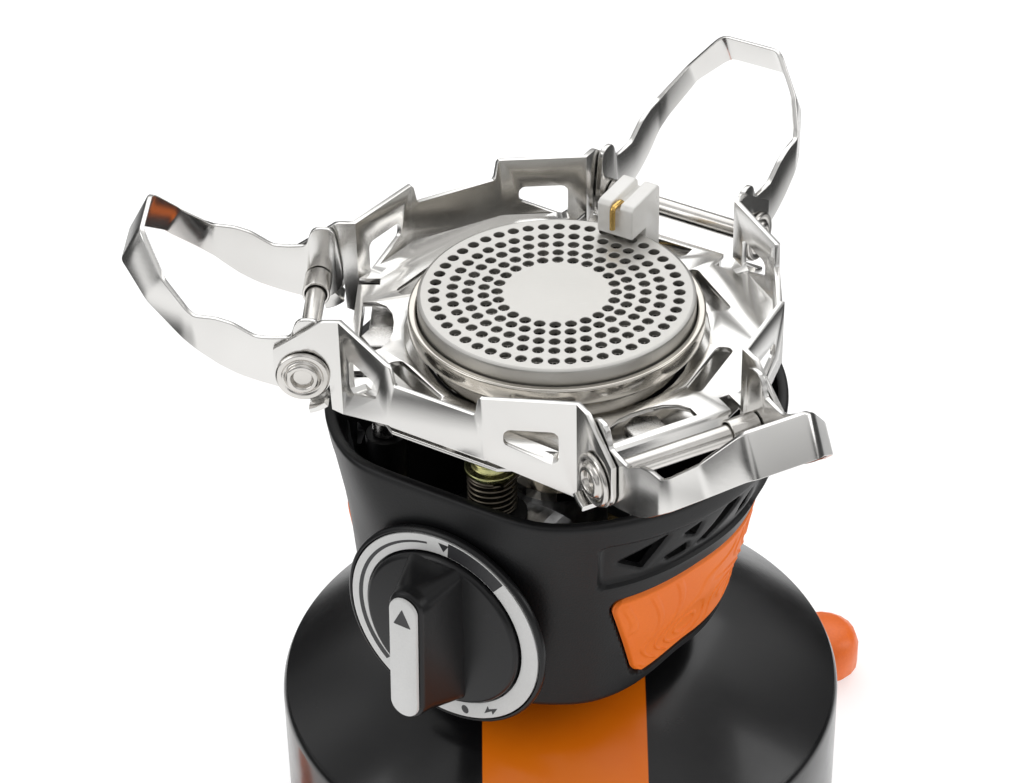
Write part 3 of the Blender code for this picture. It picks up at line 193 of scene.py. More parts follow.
def blended(tree, share, first, second):
    """Colour between first and second by share."""
    node = tree.nodes.new("ShaderNodeMix")
    node.data_type = "RGBA"
    tree.links.new(share, node.inputs["Factor"])
    for socket, colour in ((node.inputs["A"], first), (node.inputs["B"], second)):
        if isinstance(colour, tuple):
            socket.default_value = (*colour, 1.0)
        else:
            tree.links.new(colour, socket)
    return node.outputs["Result"]


def shader_of(name, metallic=0.0, coat=0.0, coat_roughness=0.1, specular=0.5):
    """Material with its Principled shader, tree and Object coordinates."""
    material = bpy.data.materials.new(name)
    material.use_nodes = True
    tree = material.node_tree
    shader = tree.nodes["Principled BSDF"]
    shader.inputs["Metallic"].default_value = metallic
    shader.inputs["Coat Weight"].default_value = coat
    shader.inputs["Coat Roughness"].default_value = coat_roughness
    shader.inputs["Specular IOR Level"].default_value = specular
    where = tree.nodes.new("ShaderNodeTexCoord").outputs["Object"]
    return material, tree, shader, where


def bumped(tree, shader, height, strength, distance=0.0002):
    """Sends a height through a bump node to the shader's normal."""
    node = tree.nodes.new("ShaderNodeBump")
    node.inputs["Strength"].default_value = strength
    node.inputs["Distance"].default_value = distance
    tree.links.new(height, node.inputs["Height"])
    tree.links.new(node.outputs["Normal"], shader.inputs["Normal"])


def moulding_group():
    """Spark-eroded mould texture: fine grain over a broad, faint flow of shade."""
    group, entry, out = node_group("moulded_grain", [
        ("Vector", "NodeSocketVector", None), ("Grain", "NodeSocketFloat", 2600.0)],
        [("Height", "NodeSocketFloat"), ("Shade", "NodeSocketFloat"),
         ("Handled", "NodeSocketFloat")])
    where = entry.outputs["Vector"]
    fine = group.nodes.new("ShaderNodeTexNoise")
    fine.inputs["Detail"].default_value = 2.0
    group.links.new(where, fine.inputs["Vector"])
    group.links.new(entry.outputs["Grain"], fine.inputs["Scale"])
    flow = noise(group, where, 55.0, 4.0)
    rubbed = noise(group, where, 210.0, 5.0, 0.7)
    group.links.new(fine.outputs["Fac"], out.inputs["Height"])
    group.links.new(worked(group, "MULTIPLY_ADD", fine.outputs["Fac"], 0.35,
                           worked(group, "MULTIPLY", flow, 0.65)), out.inputs["Shade"])
    group.links.new(spread(group, rubbed, 0.55, 0.75), out.inputs["Handled"])
    return group


moulded_grain = moulding_group()


def moulded(name, colour, dark, roughness, grain, depth, coat=0.0, specular=0.5):
    """Moulded plastic: grain in the height, faint shade and rubbed patches in the gloss."""
    material, tree, shader, where = shader_of(name, coat=coat, specular=specular)
    texture = tree.nodes.new("ShaderNodeGroup")
    texture.node_tree = moulded_grain
    texture.inputs["Grain"].default_value = grain
    tree.links.new(where, texture.inputs["Vector"])
    shade = spread(tree, texture.outputs["Shade"], 0.3, 0.7)
    tree.links.new(blended(tree, shade, dark, colour), shader.inputs["Base Color"])
    gloss = spread(tree, texture.outputs["Handled"], 0.0, 1.0, roughness, roughness * 0.86)
    tree.links.new(gloss, shader.inputs["Roughness"])
    bumped(tree, shader, texture.outputs["Height"], depth, 0.00008)
    return material


orange_nylon = moulded("orange_nylon", ORANGE_NYLON, (0.80, 0.13, 0.006), 0.36, 1800.0, 0.25)
foot_rubber = moulded("foot_rubber", (0.022, 0.022, 0.022), (0.012, 0.012, 0.013), 0.8,
                      1200.0, 0.6)
for letter, body in zip("abc", ("stabiliser", "leg_b", "leg_c")):
    leg = softened("stabiliser_leg_" + letter, 0.9 * MM, "leg_moulding_" + letter, 40.0, 3)
    fitted(leg, body, "orange_nylon", orange_nylon, "stabiliser_leg_" + letter)
    pad = softened("foot_pad_" + letter, 0.25 * MM, "foot_tread_" + letter)
    fitted(pad, body, "foot_rubber", foot_rubber, "foot_pad_" + letter)

# ---- Canister -----------------------------------------------------------------------------
# Drawn steel can, painted gloss black with one orange band over the shoulder, its base curled
# into a foot rim. Smears in the gloss and a faint ripple make its reflections waver.
CAN_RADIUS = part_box("canister_shell")[1].x
CAN_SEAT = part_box("canister_shell")[0].z
DOME_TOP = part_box("canister_shell")[1].z
CUP_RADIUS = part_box("valve_cup")[1].x
SHOULDER = CAN_SEAT + 60.5 * MM
CAN_BLACK = (0.0045, 0.0045, 0.005)
CAN_ORANGE = (0.90, 0.20, 0.004)


def filleted(corners, radius, steps=4, closed=True):
    """Rounds an outline's corners: each becomes the curve (1-t)^2 s + 2t(1-t) c + t^2 e between
    points s and e that lie radius along its two sides, or 45% of the shorter side."""
    c = np.asarray(corners, float)
    before, after = np.roll(c, 1, 0) - c, np.roll(c, -1, 0) - c
    sides = [np.linalg.norm(side, axis=1, keepdims=True) for side in (before, after)]
    reach = np.minimum(np.reshape(radius, (-1, 1)), 0.45 * np.minimum(*sides))
    start, end = c + before / sides[0] * reach, c + after / sides[1] * reach
    t = np.linspace(0, 1, steps + 1)[None, :, None]
    arcs = ((1 - t) ** 2 * start[:, None] + 2 * t * (1 - t) * c[:, None] + t * t * end[:, None])
    if closed:
        return arcs.reshape(-1, 2)
    return np.concatenate([c[:1], arcs[1:-1].reshape(-1, 2), c[-1:]])


def spun(profile, segments):
    """Grid of an (r, z) profile spun about Z: x = r cos a, y = r sin a."""
    a = np.linspace(0, math.tau, segments, endpoint=False)
    r, z = np.asarray(profile, float).T
    return np.stack([np.outer(r, np.cos(a)), np.outer(r, np.sin(a)),
                     np.repeat(z[:, None], segments, 1)], axis=-1)


def lathe(name, profile, place=None, segments=96, radius=0.15 * MM, closed=True, crease=32.0):
    """Turned piece: its profile's corners filleted, then spun. A closed profile is a ring,
    an open one meets the axis at both ends."""
    outline = filleted(profile, radius, 3, closed)
    return skinned(name, [(spun(outline, segments), closed, True)], place, crease)


def can_outline():
    """Outside of the can: foot curl, straight side, and the dome h(1 - s^1.6), s running from
    the cup's edge to the side."""
    mouth = CUP_RADIUS + 0.3 * MM
    s = np.linspace(1, 0, 42) ** 0.8
    s[0] = 1 - 1.3 * MM / (CAN_RADIUS - mouth)
    dome = np.stack([mouth + s * (CAN_RADIUS - mouth),
                     DOME_TOP - (DOME_TOP - SHOULDER) * s ** 1.6], axis=-1)
    foot = [(-3.5, 0.2), (-3.2, 0.0), (-1.9, 0.0), (-1.2, 0.5), (-0.9, 1.6), (-0.7, 2.2),
            (-0.15, 3.0), (0.0, 3.8)]
    foot = [(CAN_RADIUS + r * MM, CAN_SEAT + z * MM) for r, z in foot]
    side = [(CAN_RADIUS, CAN_SEAT + h * (SHOULDER - CAN_SEAT)) for h in np.linspace(0.1, 0.97, 9)]
    turn = [(CAN_RADIUS - 0.1 * MM, SHOULDER - 0.9 * MM), (CAN_RADIUS - 0.45 * MM, SHOULDER)]
    return np.concatenate([foot, side, turn, dome])


outside = can_outline()
inside = outside[::-1] - [0.75 * MM, 0.0]
inside[:, 0] = np.maximum(inside[:, 0], CUP_RADIUS + 0.3 * MM)
inside[:, 1] = np.maximum(inside[:, 1] - 0.7 * MM, CAN_SEAT + 2.0 * MM)
can = skinned("can_body", [(spun(np.concatenate([outside, inside]), 192), True, True)])


def can_paint_material():
    """Gloss black lacquer, an orange band of one width across the can, and its clear coat."""
    material, tree, shader, where = shader_of("can_lacquer", coat=0.25, coat_roughness=0.12,
                                             specular=0.35)
    turned_vector = stretched(tree, where, (1.0, 1.0, 1.0), (0.0, 0.0, math.radians(-2.0)))
    parts = tree.nodes.new("ShaderNodeSeparateXYZ")
    tree.links.new(turned_vector, parts.inputs["Vector"])
    across = worked(tree, "ABSOLUTE", worked(tree, "SUBTRACT", parts.outputs["X"], 0.0005))
    band = spread(tree, across, 0.01545, 0.01565, 1.0, 0.0)
    front = worked(tree, "LESS_THAN", parts.outputs["Y"], 0.0)
    mottled = spread(tree, noise(tree, where, 38.0, 4.0), 0.35, 0.65)
    black = blended(tree, mottled, CAN_BLACK, (0.007, 0.007, 0.0075))
    orange = blended(tree, mottled, CAN_ORANGE, (0.84, 0.165, 0.003))
    colour = blended(tree, worked(tree, "MULTIPLY", band, front), black, orange)
    tree.links.new(colour, shader.inputs["Base Color"])
    smears = spread(tree, noise(tree, where, 90.0, 5.0, 0.65), 0.4, 0.75, 0.2, 0.29)
    tree.links.new(smears, shader.inputs["Roughness"])
    bumped(tree, shader, noise(tree, where, 420.0, 2.0), 0.05, 0.0002)
    return material


fitted(can, "canister", "canister_paint", can_paint_material(), "canister_shell")


def steel_group():
    """Worked sheet steel: fine lines along one axis, broad cloudiness and scattered scuffs."""
    group, entry, out = node_group("steel_work", [
        ("Along", "NodeSocketVector", None), ("Vector", "NodeSocketVector", None),
        ("Lines", "NodeSocketFloat", 900.0), ("Clouds", "NodeSocketFloat", 60.0)],
        [("Height", "NodeSocketFloat"), ("Shade", "NodeSocketFloat"),
         ("Scuff", "NodeSocketFloat")])
    lines = group.nodes.new("ShaderNodeTexNoise")
    lines.inputs["Detail"].default_value = 4.0
    lines.inputs["Roughness"].default_value = 0.7
    group.links.new(entry.outputs["Along"], lines.inputs["Vector"])
    group.links.new(entry.outputs["Lines"], lines.inputs["Scale"])
    clouds = group.nodes.new("ShaderNodeTexNoise")
    clouds.inputs["Detail"].default_value = 5.0
    group.links.new(entry.outputs["Vector"], clouds.inputs["Vector"])
    group.links.new(entry.outputs["Clouds"], clouds.inputs["Scale"])
    scratches = noise(group, stretched(group, entry.outputs["Vector"], (1.0, 7.0, 2.0),
                                       (0.6, 0.4, 0.9)), 240.0, 2.0)
    scuff = spread(group, scratches, 0.70, 0.76)
    group.links.new(lines.outputs["Fac"], out.inputs["Height"])
    group.links.new(clouds.outputs["Fac"], out.inputs["Shade"])
    group.links.new(scuff, out.inputs["Scuff"])
    return group


steel_work = steel_group()


def steel(name, light, dark, roughness, along, lines=900.0, clouds=60.0, depth=0.12):
    """Stainless or plated steel: lines along one axis in height and gloss, cloudy tone."""
    material, tree, shader, where = shader_of(name, metallic=1.0)
    texture = tree.nodes.new("ShaderNodeGroup")
    texture.node_tree = steel_work
    texture.inputs["Lines"].default_value = lines
    texture.inputs["Clouds"].default_value = clouds
    tree.links.new(where, texture.inputs["Vector"])
    tree.links.new(stretched(tree, where, along), texture.inputs["Along"])
    tone = spread(tree, texture.outputs["Shade"], 0.35, 0.65)
    brushed = blended(tree, tone, dark, light)
    worn = tuple(min(1.0, 1.12 * c) for c in light)
    colour = blended(tree, worked(tree, "MULTIPLY", texture.outputs["Scuff"], 0.25), brushed,
                     worn)
    tree.links.new(colour, shader.inputs["Base Color"])
    streaks = spread(tree, texture.outputs["Height"], 0.3, 0.7, roughness * 0.9,
                     roughness * 1.12)
    cloudy = spread(tree, texture.outputs["Shade"], 0.3, 0.7, -0.015, 0.03)
    tree.links.new(worked(tree, "ADD", streaks, cloudy), shader.inputs["Roughness"])
    bumped(tree, shader, texture.outputs["Height"], depth, 0.00005)
    return material


can_tin = steel("can_tin", (0.72, 0.72, 0.71), (0.58, 0.58, 0.58), 0.22, (1, 1, 1), 700.0)
rivet_steel = steel("rivet_steel", (0.66, 0.65, 0.63), (0.5, 0.49, 0.48), 0.26, (1, 1, 1))
base = softened("canister_base", 0.3 * MM, "can_foot", 30.0)
fitted(base, "canister", "canister_tin", can_tin, "canister_base")
rivet = softened("stabiliser_rivet", 0.2 * MM, "hub_rivet", 30.0)
fitted(rivet, "stabiliser", "rivet_steel", rivet_steel, "stabiliser_rivet")

# ---- Valve, collar and inlet --------------------------------------------------------------
# The tinned valve cup is rolled over the can's mouth; its threaded nozzle takes the brass
# collar, sealed by a ring of nitrile rubber. A brass pin opens the valve.
CUP_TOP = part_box("valve_cup")[1].z - 2.5 * MM
NOZZLE = 5.5 * MM
well = CUP_TOP - 5.7 * MM
cup = lathe("rolled_valve_cup", [
    (CUP_RADIUS, DOME_TOP - 2.0 * MM), (CUP_RADIUS, CUP_TOP - 1.2 * MM),
    (CUP_RADIUS - 0.7 * MM, CUP_TOP - 0.2 * MM), (CUP_RADIUS - 1.7 * MM, CUP_TOP),
    (CUP_RADIUS - 2.4 * MM, CUP_TOP - 0.9 * MM), (CUP_RADIUS - 2.7 * MM, well + 0.8 * MM),
    (CUP_RADIUS - 4.3 * MM, well), (NOZZLE + 1.1 * MM, well), (NOZZLE, well + 0.8 * MM),
    (NOZZLE, CUP_TOP + 2.0 * MM), (NOZZLE - 0.7 * MM, CUP_TOP + 2.5 * MM),
    (2.2 * MM, CUP_TOP + 2.5 * MM), (2.2 * MM, well - 2.8 * MM), (4.5 * MM, well - 2.8 * MM),
    (4.7 * MM, well - 0.9 * MM), (CUP_RADIUS - 3.9 * MM, well - 0.9 * MM),
    (CUP_RADIUS - 1.2 * MM, DOME_TOP - 2.0 * MM)], segments=128, radius=0.4 * MM)
fitted(cup, "canister", "canister_tin", can_tin, "valve_cup")
seal_rubber = moulded("seal_rubber", (0.02, 0.02, 0.02), (0.012, 0.012, 0.012), 0.6, 1500.0,
                      0.3)
brass = steel("turned_brass", (0.83, 0.62, 0.30), (0.66, 0.45, 0.18), 0.22, (1, 1, 6), 500.0)


def finished(material, *nodes):
    """Gives a material to nodes that keep their solid shape."""
    for node in nodes:
        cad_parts[node].data.materials.clear()
        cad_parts[node].data.materials.append(material)


finished(seal_rubber, "valve_gasket", "inlet_o_ring", "spindle_o_ring", "regulator_diaphragm")
finished(brass, "threaded_collar", "jet")
finished(rivet_steel, "valve_stem", "inlet_pin", "valve_spindle")

# ---- Housing ------------------------------------------------------------------------------
# Injection-moulded bowl in fine-grained black nylon, with a flat face for the knob, a sunk band
# of vent windows on each side and shallow pockets for the finger grips.
KNOB_AZ = -120.0
BASE_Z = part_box("housing")[0].z
RIM_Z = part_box("housing")[1].z
HOUSING_HEIGHT = RIM_Z - BASE_Z
WALL = 2.2 * MM
KNOB_FACE = 40.0 * MM
KNOB_Z = BASE_Z + 17.0 * MM
WAIST = 36.2 * MM
RIM = 44.1 * MM
VENT_REACH = 40.1 * MM
COLLAR_BORE = 14.3 * MM


def eased(knots, x):
    """Catmull-Rom curve y(x) through rising knots: cubic Hermite pieces whose slopes are
    those between the two neighbouring knots."""
    xs, ys = np.array(knots, float).T
    span = np.pad(xs, 1, mode="edge"), np.pad(ys, 1, mode="edge")
    slope = (span[1][2:] - span[1][:-2]) / (span[0][2:] - span[0][:-2])
    x = np.clip(x, xs[0], xs[-1])
    i = np.clip(np.searchsorted(xs, x, side="right") - 1, 0, len(xs) - 2)
    run = xs[i + 1] - xs[i]
    t = (x - xs[i]) / run
    return ((1 + 2 * t) * (1 - t) ** 2 * ys[i] + t * (1 - t) ** 2 * run * slope[i]
            + t * t * (3 - 2 * t) * ys[i + 1] + t * t * (t - 1) * run * slope[i + 1])


def smooth_step(low, high, x):
    t = np.clip((x - low) / (high - low), 0.0, 1.0)
    return t * t * (3 - 2 * t)


def bowl_radius(angle, z):
    """Outside of the bowl: round nose at the knob, narrow waist at the sides, cut by the flat
    face. The flat and the free form meet as (free^-40 + flat^-40)^(-1/40)."""
    rise = (z - BASE_Z) / HOUSING_HEIGHT
    nose = eased([(0.0, 39.5), (0.36, 40.5), (0.64, 41.5), (1.0, 44.1)], rise) * MM
    side = eased([(0.0, 32.4), (0.06, 33.0), (0.18, 33.7), (0.31, 35.5), (0.51, 37.3),
                  (0.64, 39.3), (0.76, 41.5), (0.88, 42.7), (1.0, 43.2)], rise) * MM
    share = smooth_step(34.0, 78.0, np.abs(angle))
    free = nose * (1 - share) + side * share
    flat = KNOB_FACE / np.cos(np.radians(np.clip(np.abs(angle), 0.0, 75.0)))
    cut = (free ** -40.0 + flat ** -40.0) ** (-1 / 40.0)
    return np.where(np.abs(angle) > 75.0, free, cut)


def inside_of(corners, s, z, soft=0.0):
    """Distance outside a convex outline of (s, z) corners, negative inside. Its corners are
    rounded by soft: sqrt(sum max(d + soft, 0)^2) - soft over its sides' distances d."""
    corners = np.array(corners, float)
    s, z = np.broadcast_arrays(s, z)
    ahead = np.roll(corners, -1, 0) - corners
    area = np.sum(corners[:, 0] * np.roll(corners[:, 1], -1)
                  - np.roll(corners[:, 0], -1) * corners[:, 1])
    out = np.stack([ahead[:, 1], -ahead[:, 0]], -1) * np.sign(area)
    out /= np.linalg.norm(out, axis=1, keepdims=True)
    d = (np.multiply.outer(out[:, 0], s) + np.multiply.outer(out[:, 1], z)
         - (out * corners).sum(1).reshape((-1,) + (1,) * s.ndim))
    if soft == 0.0:
        return d.max(0)
    outer = np.sqrt((np.maximum(d + soft, 0.0) ** 2).sum(0)) - soft
    return np.where(d.max(0) > -soft, outer, d.max(0))


def degrees_out(angle, reach):
    """Arc length of an angle in degrees at a reach from the axis."""
    return np.radians(angle) * reach


VENTS = [
    [(46.0, -10.8), (60.0, -6.9), (53.5, -14.2)],
    [(59.5, -13.4), (66.5, -11.5), (67.6, -14.2), (61.5, -14.6)],
    [(64.5, -8.6), (70.5, -7.4), (69.0, -10.4)],
    [(70.5, -13.6), (74.5, -14.2), (85.0, -7.6), (79.5, -7.0)],
    [(86.5, -13.4), (91.5, -12.6), (91.5, -8.6), (86.5, -10.4)]]
vent_corners = [[(degrees_out(a, VENT_REACH), RIM_Z + h * MM) for a, h in window]
                for window in VENTS]
recess = [(degrees_out(a, VENT_REACH), RIM_Z + h * MM)
          for a, h in ((41.0, -16.5), (99.0, -16.5), (99.0, -5.5), (41.0, -5.5))]
pocket = [(degrees_out(a, WAIST), RIM_Z + h * MM)
          for a, h in ((52.5, -41.9), (150.5, -41.9), (150.5, -20.0), (43.7, -20.0))]


def bowl_sinks(angle, z):
    """How far the outside is sunk: the vent band, the grip pockets, and a soft lip that rolls
    into each window."""
    s = degrees_out(np.abs(angle), VENT_REACH)
    sunk = 1.0 * MM * (1 - smooth_step(-0.7 * MM, 0.1 * MM, inside_of(recess, s, z, 1.5 * MM)))
    for corners in vent_corners:
        near = inside_of(corners, s, z, 0.6 * MM)
        sunk = sunk + 0.45 * MM * (1 - smooth_step(-0.2 * MM, 0.75 * MM, near)) ** 1.6
    s = degrees_out(np.abs(angle), WAIST)
    grip = inside_of(pocket, s, z, 3.0 * MM)
    return sunk + 1.2 * MM * (1 - smooth_step(-0.15 * MM, 0.2 * MM, grip))


def bowl_points(angle, z, offset):
    """Points r(angle, z) + offset from the axis; angle is from the knob's direction."""
    r = bowl_radius(angle, z) + offset
    a = np.radians(angle + KNOB_AZ)
    return np.stack([r * np.cos(a), r * np.sin(a), np.broadcast_to(z, r.shape)], -1)


def bowl_shell(columns=520):
    """Closed shell of the bowl: floor from the collar's bore, rolled bottom edge, outside,
    rounded rim, inside, and back to the bore."""
    angle = np.linspace(-180.0, 180.0, columns, endpoint=False)[None, :]
    low = np.array([(0.0, -3.0), (0.0, -1.7), (0.18, -0.9), (0.5, -0.35), (0.9, -0.08)]) * MM
    rows_z = np.concatenate([BASE_Z + low[:, 0], np.linspace(BASE_Z + 1.3 * MM,
                             RIM_Z - 1.0 * MM, 92), RIM_Z - np.array([0.6, 0.25, 0.06, 0.0]) * MM])
    rows_out = np.concatenate([low[:, 1], np.zeros(92), np.array([-0.06, -0.24, -0.5, -0.9]) * MM])
    z, out = rows_z[:, None], rows_out[:, None]
    z = np.broadcast_to(z, (len(rows_z), columns))
    outer = bowl_points(angle, z, out - bowl_sinks(angle, z))
    inner_z = np.concatenate([RIM_Z - np.array([0.0, 0.15, 0.5]) * MM,
                              np.linspace(RIM_Z - 2.0 * MM, BASE_Z + 3.2 * MM, 14),
                              [BASE_Z + WALL + 0.3 * MM, BASE_Z + WALL]])
    inner_out = np.concatenate([np.array([0.5, 0.15, 0.0]) * MM, np.zeros(15), [-0.8 * MM]]) - WALL
    z = np.broadcast_to(inner_z[:, None], (len(inner_z), columns))
    inner = bowl_points(angle, z, np.broadcast_to(inner_out[:, None], z.shape)
                        - 0.6 * bowl_sinks(angle, z))
    a = np.radians(angle[0] + KNOB_AZ)
    bore = [np.stack([COLLAR_BORE * np.cos(a), COLLAR_BORE * np.sin(a), np.full(columns, h)], -1)
            for h in (BASE_Z + WALL, BASE_Z)]
    return np.concatenate([outer, inner, np.stack(bore)])


def window_tool(corners, side, name):
    """Prism over one window's rounded outline, from outside the wall to inside it."""
    outline = filleted(corners, 0.55 * MM, 4)
    share = np.linspace(0, 1, 5)[:-1, None]
    ahead = np.roll(outline, -1, 0)
    outline = (outline[:, None] * (1 - share) + ahead[:, None] * share).reshape(-1, 2)
    angle = side * np.degrees(outline[:, 0] / VENT_REACH)
    rings = [bowl_points(angle, outline[:, 1], offset) for offset in (-5.0 * MM, 2.0 * MM)]
    middles = [np.repeat(ring.mean(0)[None], len(ring), 0) for ring in rings]
    return skinned(name, [(np.stack([middles[0], *rings, middles[1]]), False, True)])


def knob_frame(distance, across=0.0, height=0.0):
    """4 x 4 place on the knob's axis: local x along the flat face, y up, z outwards."""
    a = math.radians(KNOB_AZ)
    out, side = np.array([math.cos(a), math.sin(a), 0.0]), np.array([-math.sin(a), math.cos(a), 0])
    centre = np.array([0.001 * -math.sin(a), 0.001 * math.cos(a), KNOB_Z])
    place = np.eye(4)
    place[:3, 0], place[:3, 1], place[:3, 2] = side, (0, 0, 1), out
    place[:3, 3] = centre + out * distance + side * across + np.array([0, 0, height])
    return place


def rod_tool(radius, length, place, name, segments=40):
    return skinned(name, [(spun([(0, 0), (radius, 0), (radius, length), (0, length)], segments),
                           False, True)], place)


def carved(piece, tools, crease=32.0):
    """Cuts the tools out of a piece for good, and removes them."""
    for tool in tools:
        cutter = piece.modifiers.new("cut", "BOOLEAN")
        cutter.operation = "DIFFERENCE"
        cutter.solver = "EXACT"
        cutter.object = tool
    bpy.context.view_layer.update()
    ready = piece.evaluated_get(bpy.context.evaluated_depsgraph_get())
    mesh = bpy.data.meshes.new_from_object(ready)
    piece.modifiers.clear()
    piece.data = mesh
    for tool in tools:
        bpy.data.objects.remove(tool, do_unlink=True)
    mesh.shade_smooth()
    mesh.set_sharp_from_angle(angle=math.radians(crease))
    return piece


bowl = skinned("housing_bowl", [(bowl_shell(), True, True)])
tools = [window_tool(corners, side, "window") for corners in vent_corners for side in (-1, 1)]
tools += [rod_tool(7.05 * MM, 14 * MM, knob_frame(32 * MM), "bore"),
          rod_tool(1.95 * MM, 14 * MM, knob_frame(32 * MM, -11.0 * MM), "bore")]
carved(bowl, tools, 40.0)
housing_black = moulded("housing_black", (0.0085, 0.0086, 0.0092), (0.0055, 0.0056, 0.0062),
                        0.38, 2600.0, 0.35, specular=0.26)
fitted(bowl, "stove", "housing_plastic", housing_black, "housing")
POST_AZ, POST_X = (180.0, -60.0, 95.0), 32.5 * MM
bosses = [(spun(filleted([(0, RIM_Z - (11 + length) * MM), (4 * MM, RIM_Z - (11 + length) * MM),
                          (4 * MM, RIM_Z - 11 * MM), (0, RIM_Z - 11 * MM)], 0.3 * MM, 3, False), 32)
           @ turned_by(azimuth)[:3, :3].T
           + turned_by(azimuth)[:3, 0] * POST_X, False, True)
          for azimuth, length in zip(POST_AZ, (18, 18, 11))]
fitted(skinned("housing_bosses", bosses), "stove", "housing_plastic", housing_black)

# ---- Finger grips -------------------------------------------------------------------------
# Two soft orange pads bonded into the housing's pockets. Raised contour lines give hold;
# the pads' edges are rolled over.
GRIP_ORANGE = (0.92, 0.20, 0.012)


def contour_relief(s, z, seed):
    """Height lines of a gentle landscape f(s, z) of hills: a line stands where 3.4 f passes a
    whole number."""
    hills = np.random.default_rng(seed)
    f = 0.12 * s / MM + 0.05 * z / MM
    for _ in range(7):
        x, y = hills.uniform(0, 72) * MM, hills.uniform(-2, 24) * MM
        wide, tall, high = hills.uniform(5, 11), hills.uniform(3, 6), hills.uniform(-1.6, 1.9)
        f = f + high * np.exp(-((s - x) / (wide * MM)) ** 2 - ((z - y) / (tall * MM)) ** 2)
    cycle = np.abs((1.5 * f + 0.5) % 1.0 - 0.5)
    return 1 - smooth_step(0.07, 0.16, cycle)


def grip_skin(side, rows=104, columns=330):
    """Pad over the pocket: its slanted front edge and rolled rim, closed by a back skin."""
    front, back = (53.0, 44.2), (150.0, 150.0)
    low, high = RIM_Z - 41.6 * MM, RIM_Z - 20.3 * MM
    v = 0.5 - 0.5 * np.cos(np.linspace(0, math.pi, rows)[:, None])
    v = 0.65 * v + 0.35 * np.linspace(0, 1, rows)[:, None]
    u = 0.5 - 0.5 * np.cos(np.linspace(0, math.pi, columns)[None, :])
    u = 0.25 * u + 0.75 * np.linspace(0, 1, columns)[None, :]
    z = low + v * (high - low)
    edge = np.minimum(z - low, high - z)
    round_off = 3.2 * MM
    left = np.clip(1 - edge / round_off, 0, 1)
    inset = np.degrees(round_off * (1 - np.sqrt(1 - left ** 2)) / WAIST)
    start = front[0] * (1 - v) + front[1] * v + inset
    end = back[0] * (1 - v) + back[1] * v - inset
    angle = start + u * (end - start)
    z = np.broadcast_to(z, angle.shape)
    ends = np.minimum(angle - start, end - angle) * math.radians(1) * WAIST
    from_edge = np.minimum(np.broadcast_to(edge, angle.shape), ends)
    rolled = 1 - smooth_step(0.0, 1.1 * MM, from_edge)
    relief = contour_relief(degrees_out(angle, WAIST), z - low, 5 if side > 0 else 8)
    relief = relief * smooth_step(0.9 * MM, 2.2 * MM, from_edge)
    top = bowl_points(side * angle, z, 0.36 * MM - 0.75 * MM * rolled ** 2 + 0.24 * MM * relief)
    under = bowl_points(side * angle, z, np.full(angle.shape, -0.9 * MM))
    rim = [np.stack([top[0], under[0]]), np.stack([top[-1], under[-1]]),
           np.stack([top[:, 0], under[:, 0]]), np.stack([top[:, -1], under[:, -1]])]
    return [(grid, False, False) for grid in [top, under, *rim]]


grip_orange = moulded("grip_orange", GRIP_ORANGE, (0.84, 0.16, 0.008), 0.5, 2200.0, 0.3,
                      specular=0.35)
for name, side in (("grip_pad_right", 1), ("grip_pad_left", -1)):
    fitted(skinned(name + "_moulding", grip_skin(side)), "stove", "grip_orange", grip_orange,
           name)

# ---- Knob, scale ring and dial ------------------------------------------------------------
# A black bezel carries the printed grey scale ring; the dial inside it turns half a turn and
# has a tapering fin with a grey index plate on its face.
BEZEL, SCALE, DIAL = 21.2 * MM, 20.1 * MM, 16.3 * MM
FACE = KNOB_FACE + 0.3 * MM
DIAL_BACK = KNOB_FACE + 1.5 * MM
HANDLE_TOP = KNOB_FACE + 12.9 * MM
FIN_LEAN = 1.6
knob_place = knob_frame(0.0)
knob_black = moulded("knob_black", (0.0075, 0.0075, 0.0082), (0.0048, 0.0048, 0.0055), 0.30,
                     3000.0, 0.15, specular=0.32)
bezel = lathe("scale_bezel", [
    (DIAL - 1.3 * MM, FACE), (BEZEL - 0.4 * MM, FACE), (BEZEL, FACE + 0.4 * MM),
    (BEZEL, FACE + 1.3 * MM), (BEZEL - 0.4 * MM, FACE + 1.7 * MM),
    (SCALE + 0.3 * MM, FACE + 1.7 * MM), (SCALE + 0.3 * MM, FACE + 0.8 * MM),
    (DIAL - 1.3 * MM, FACE + 0.8 * MM)], knob_place, 160, 0.25 * MM)
fitted(bezel, "stove", "housing_plastic", knob_black, "dial_bezel")
scale_grey = moulded("scale_grey", (0.70, 0.70, 0.69), (0.62, 0.62, 0.61), 0.38, 2400.0, 0.1)
RING = FACE + 1.1 * MM
ring = lathe("scale_ring", [
    (DIAL + 0.4 * MM, RING), (SCALE, RING), (SCALE, RING + 0.7 * MM),
    (DIAL + 0.4 * MM, RING + 0.7 * MM)], knob_place, 160, 0.12 * MM)
fitted(ring, "stove", "scale_grey", scale_grey, "dial_ring")


def plaques(name, outlines, low, high, place):
    """Thin printed shapes: each (x, y) outline becomes a closed plate from low to high."""
    points, faces, start = [], [], 0
    for outline in outlines:
        outline = np.asarray(outline, float)
        n = len(outline)
        points += [np.column_stack([outline, np.full(n, h)]) for h in (low, high)]
        step = np.arange(n)
        after = (step + 1) % n
        faces += (np.stack([step, after, after + n, step + n], -1) + start).tolist()
        faces += [(step[::-1] + start).tolist(), (step + n + start).tolist()]
        start += 2 * n
    points = np.concatenate(points) @ place[:3, :3].T + place[:3, 3]
    mesh = bpy.data.meshes.new(name)
    mesh.from_pydata(points, [], faces)
    return cleaned(name, mesh, 30.0)


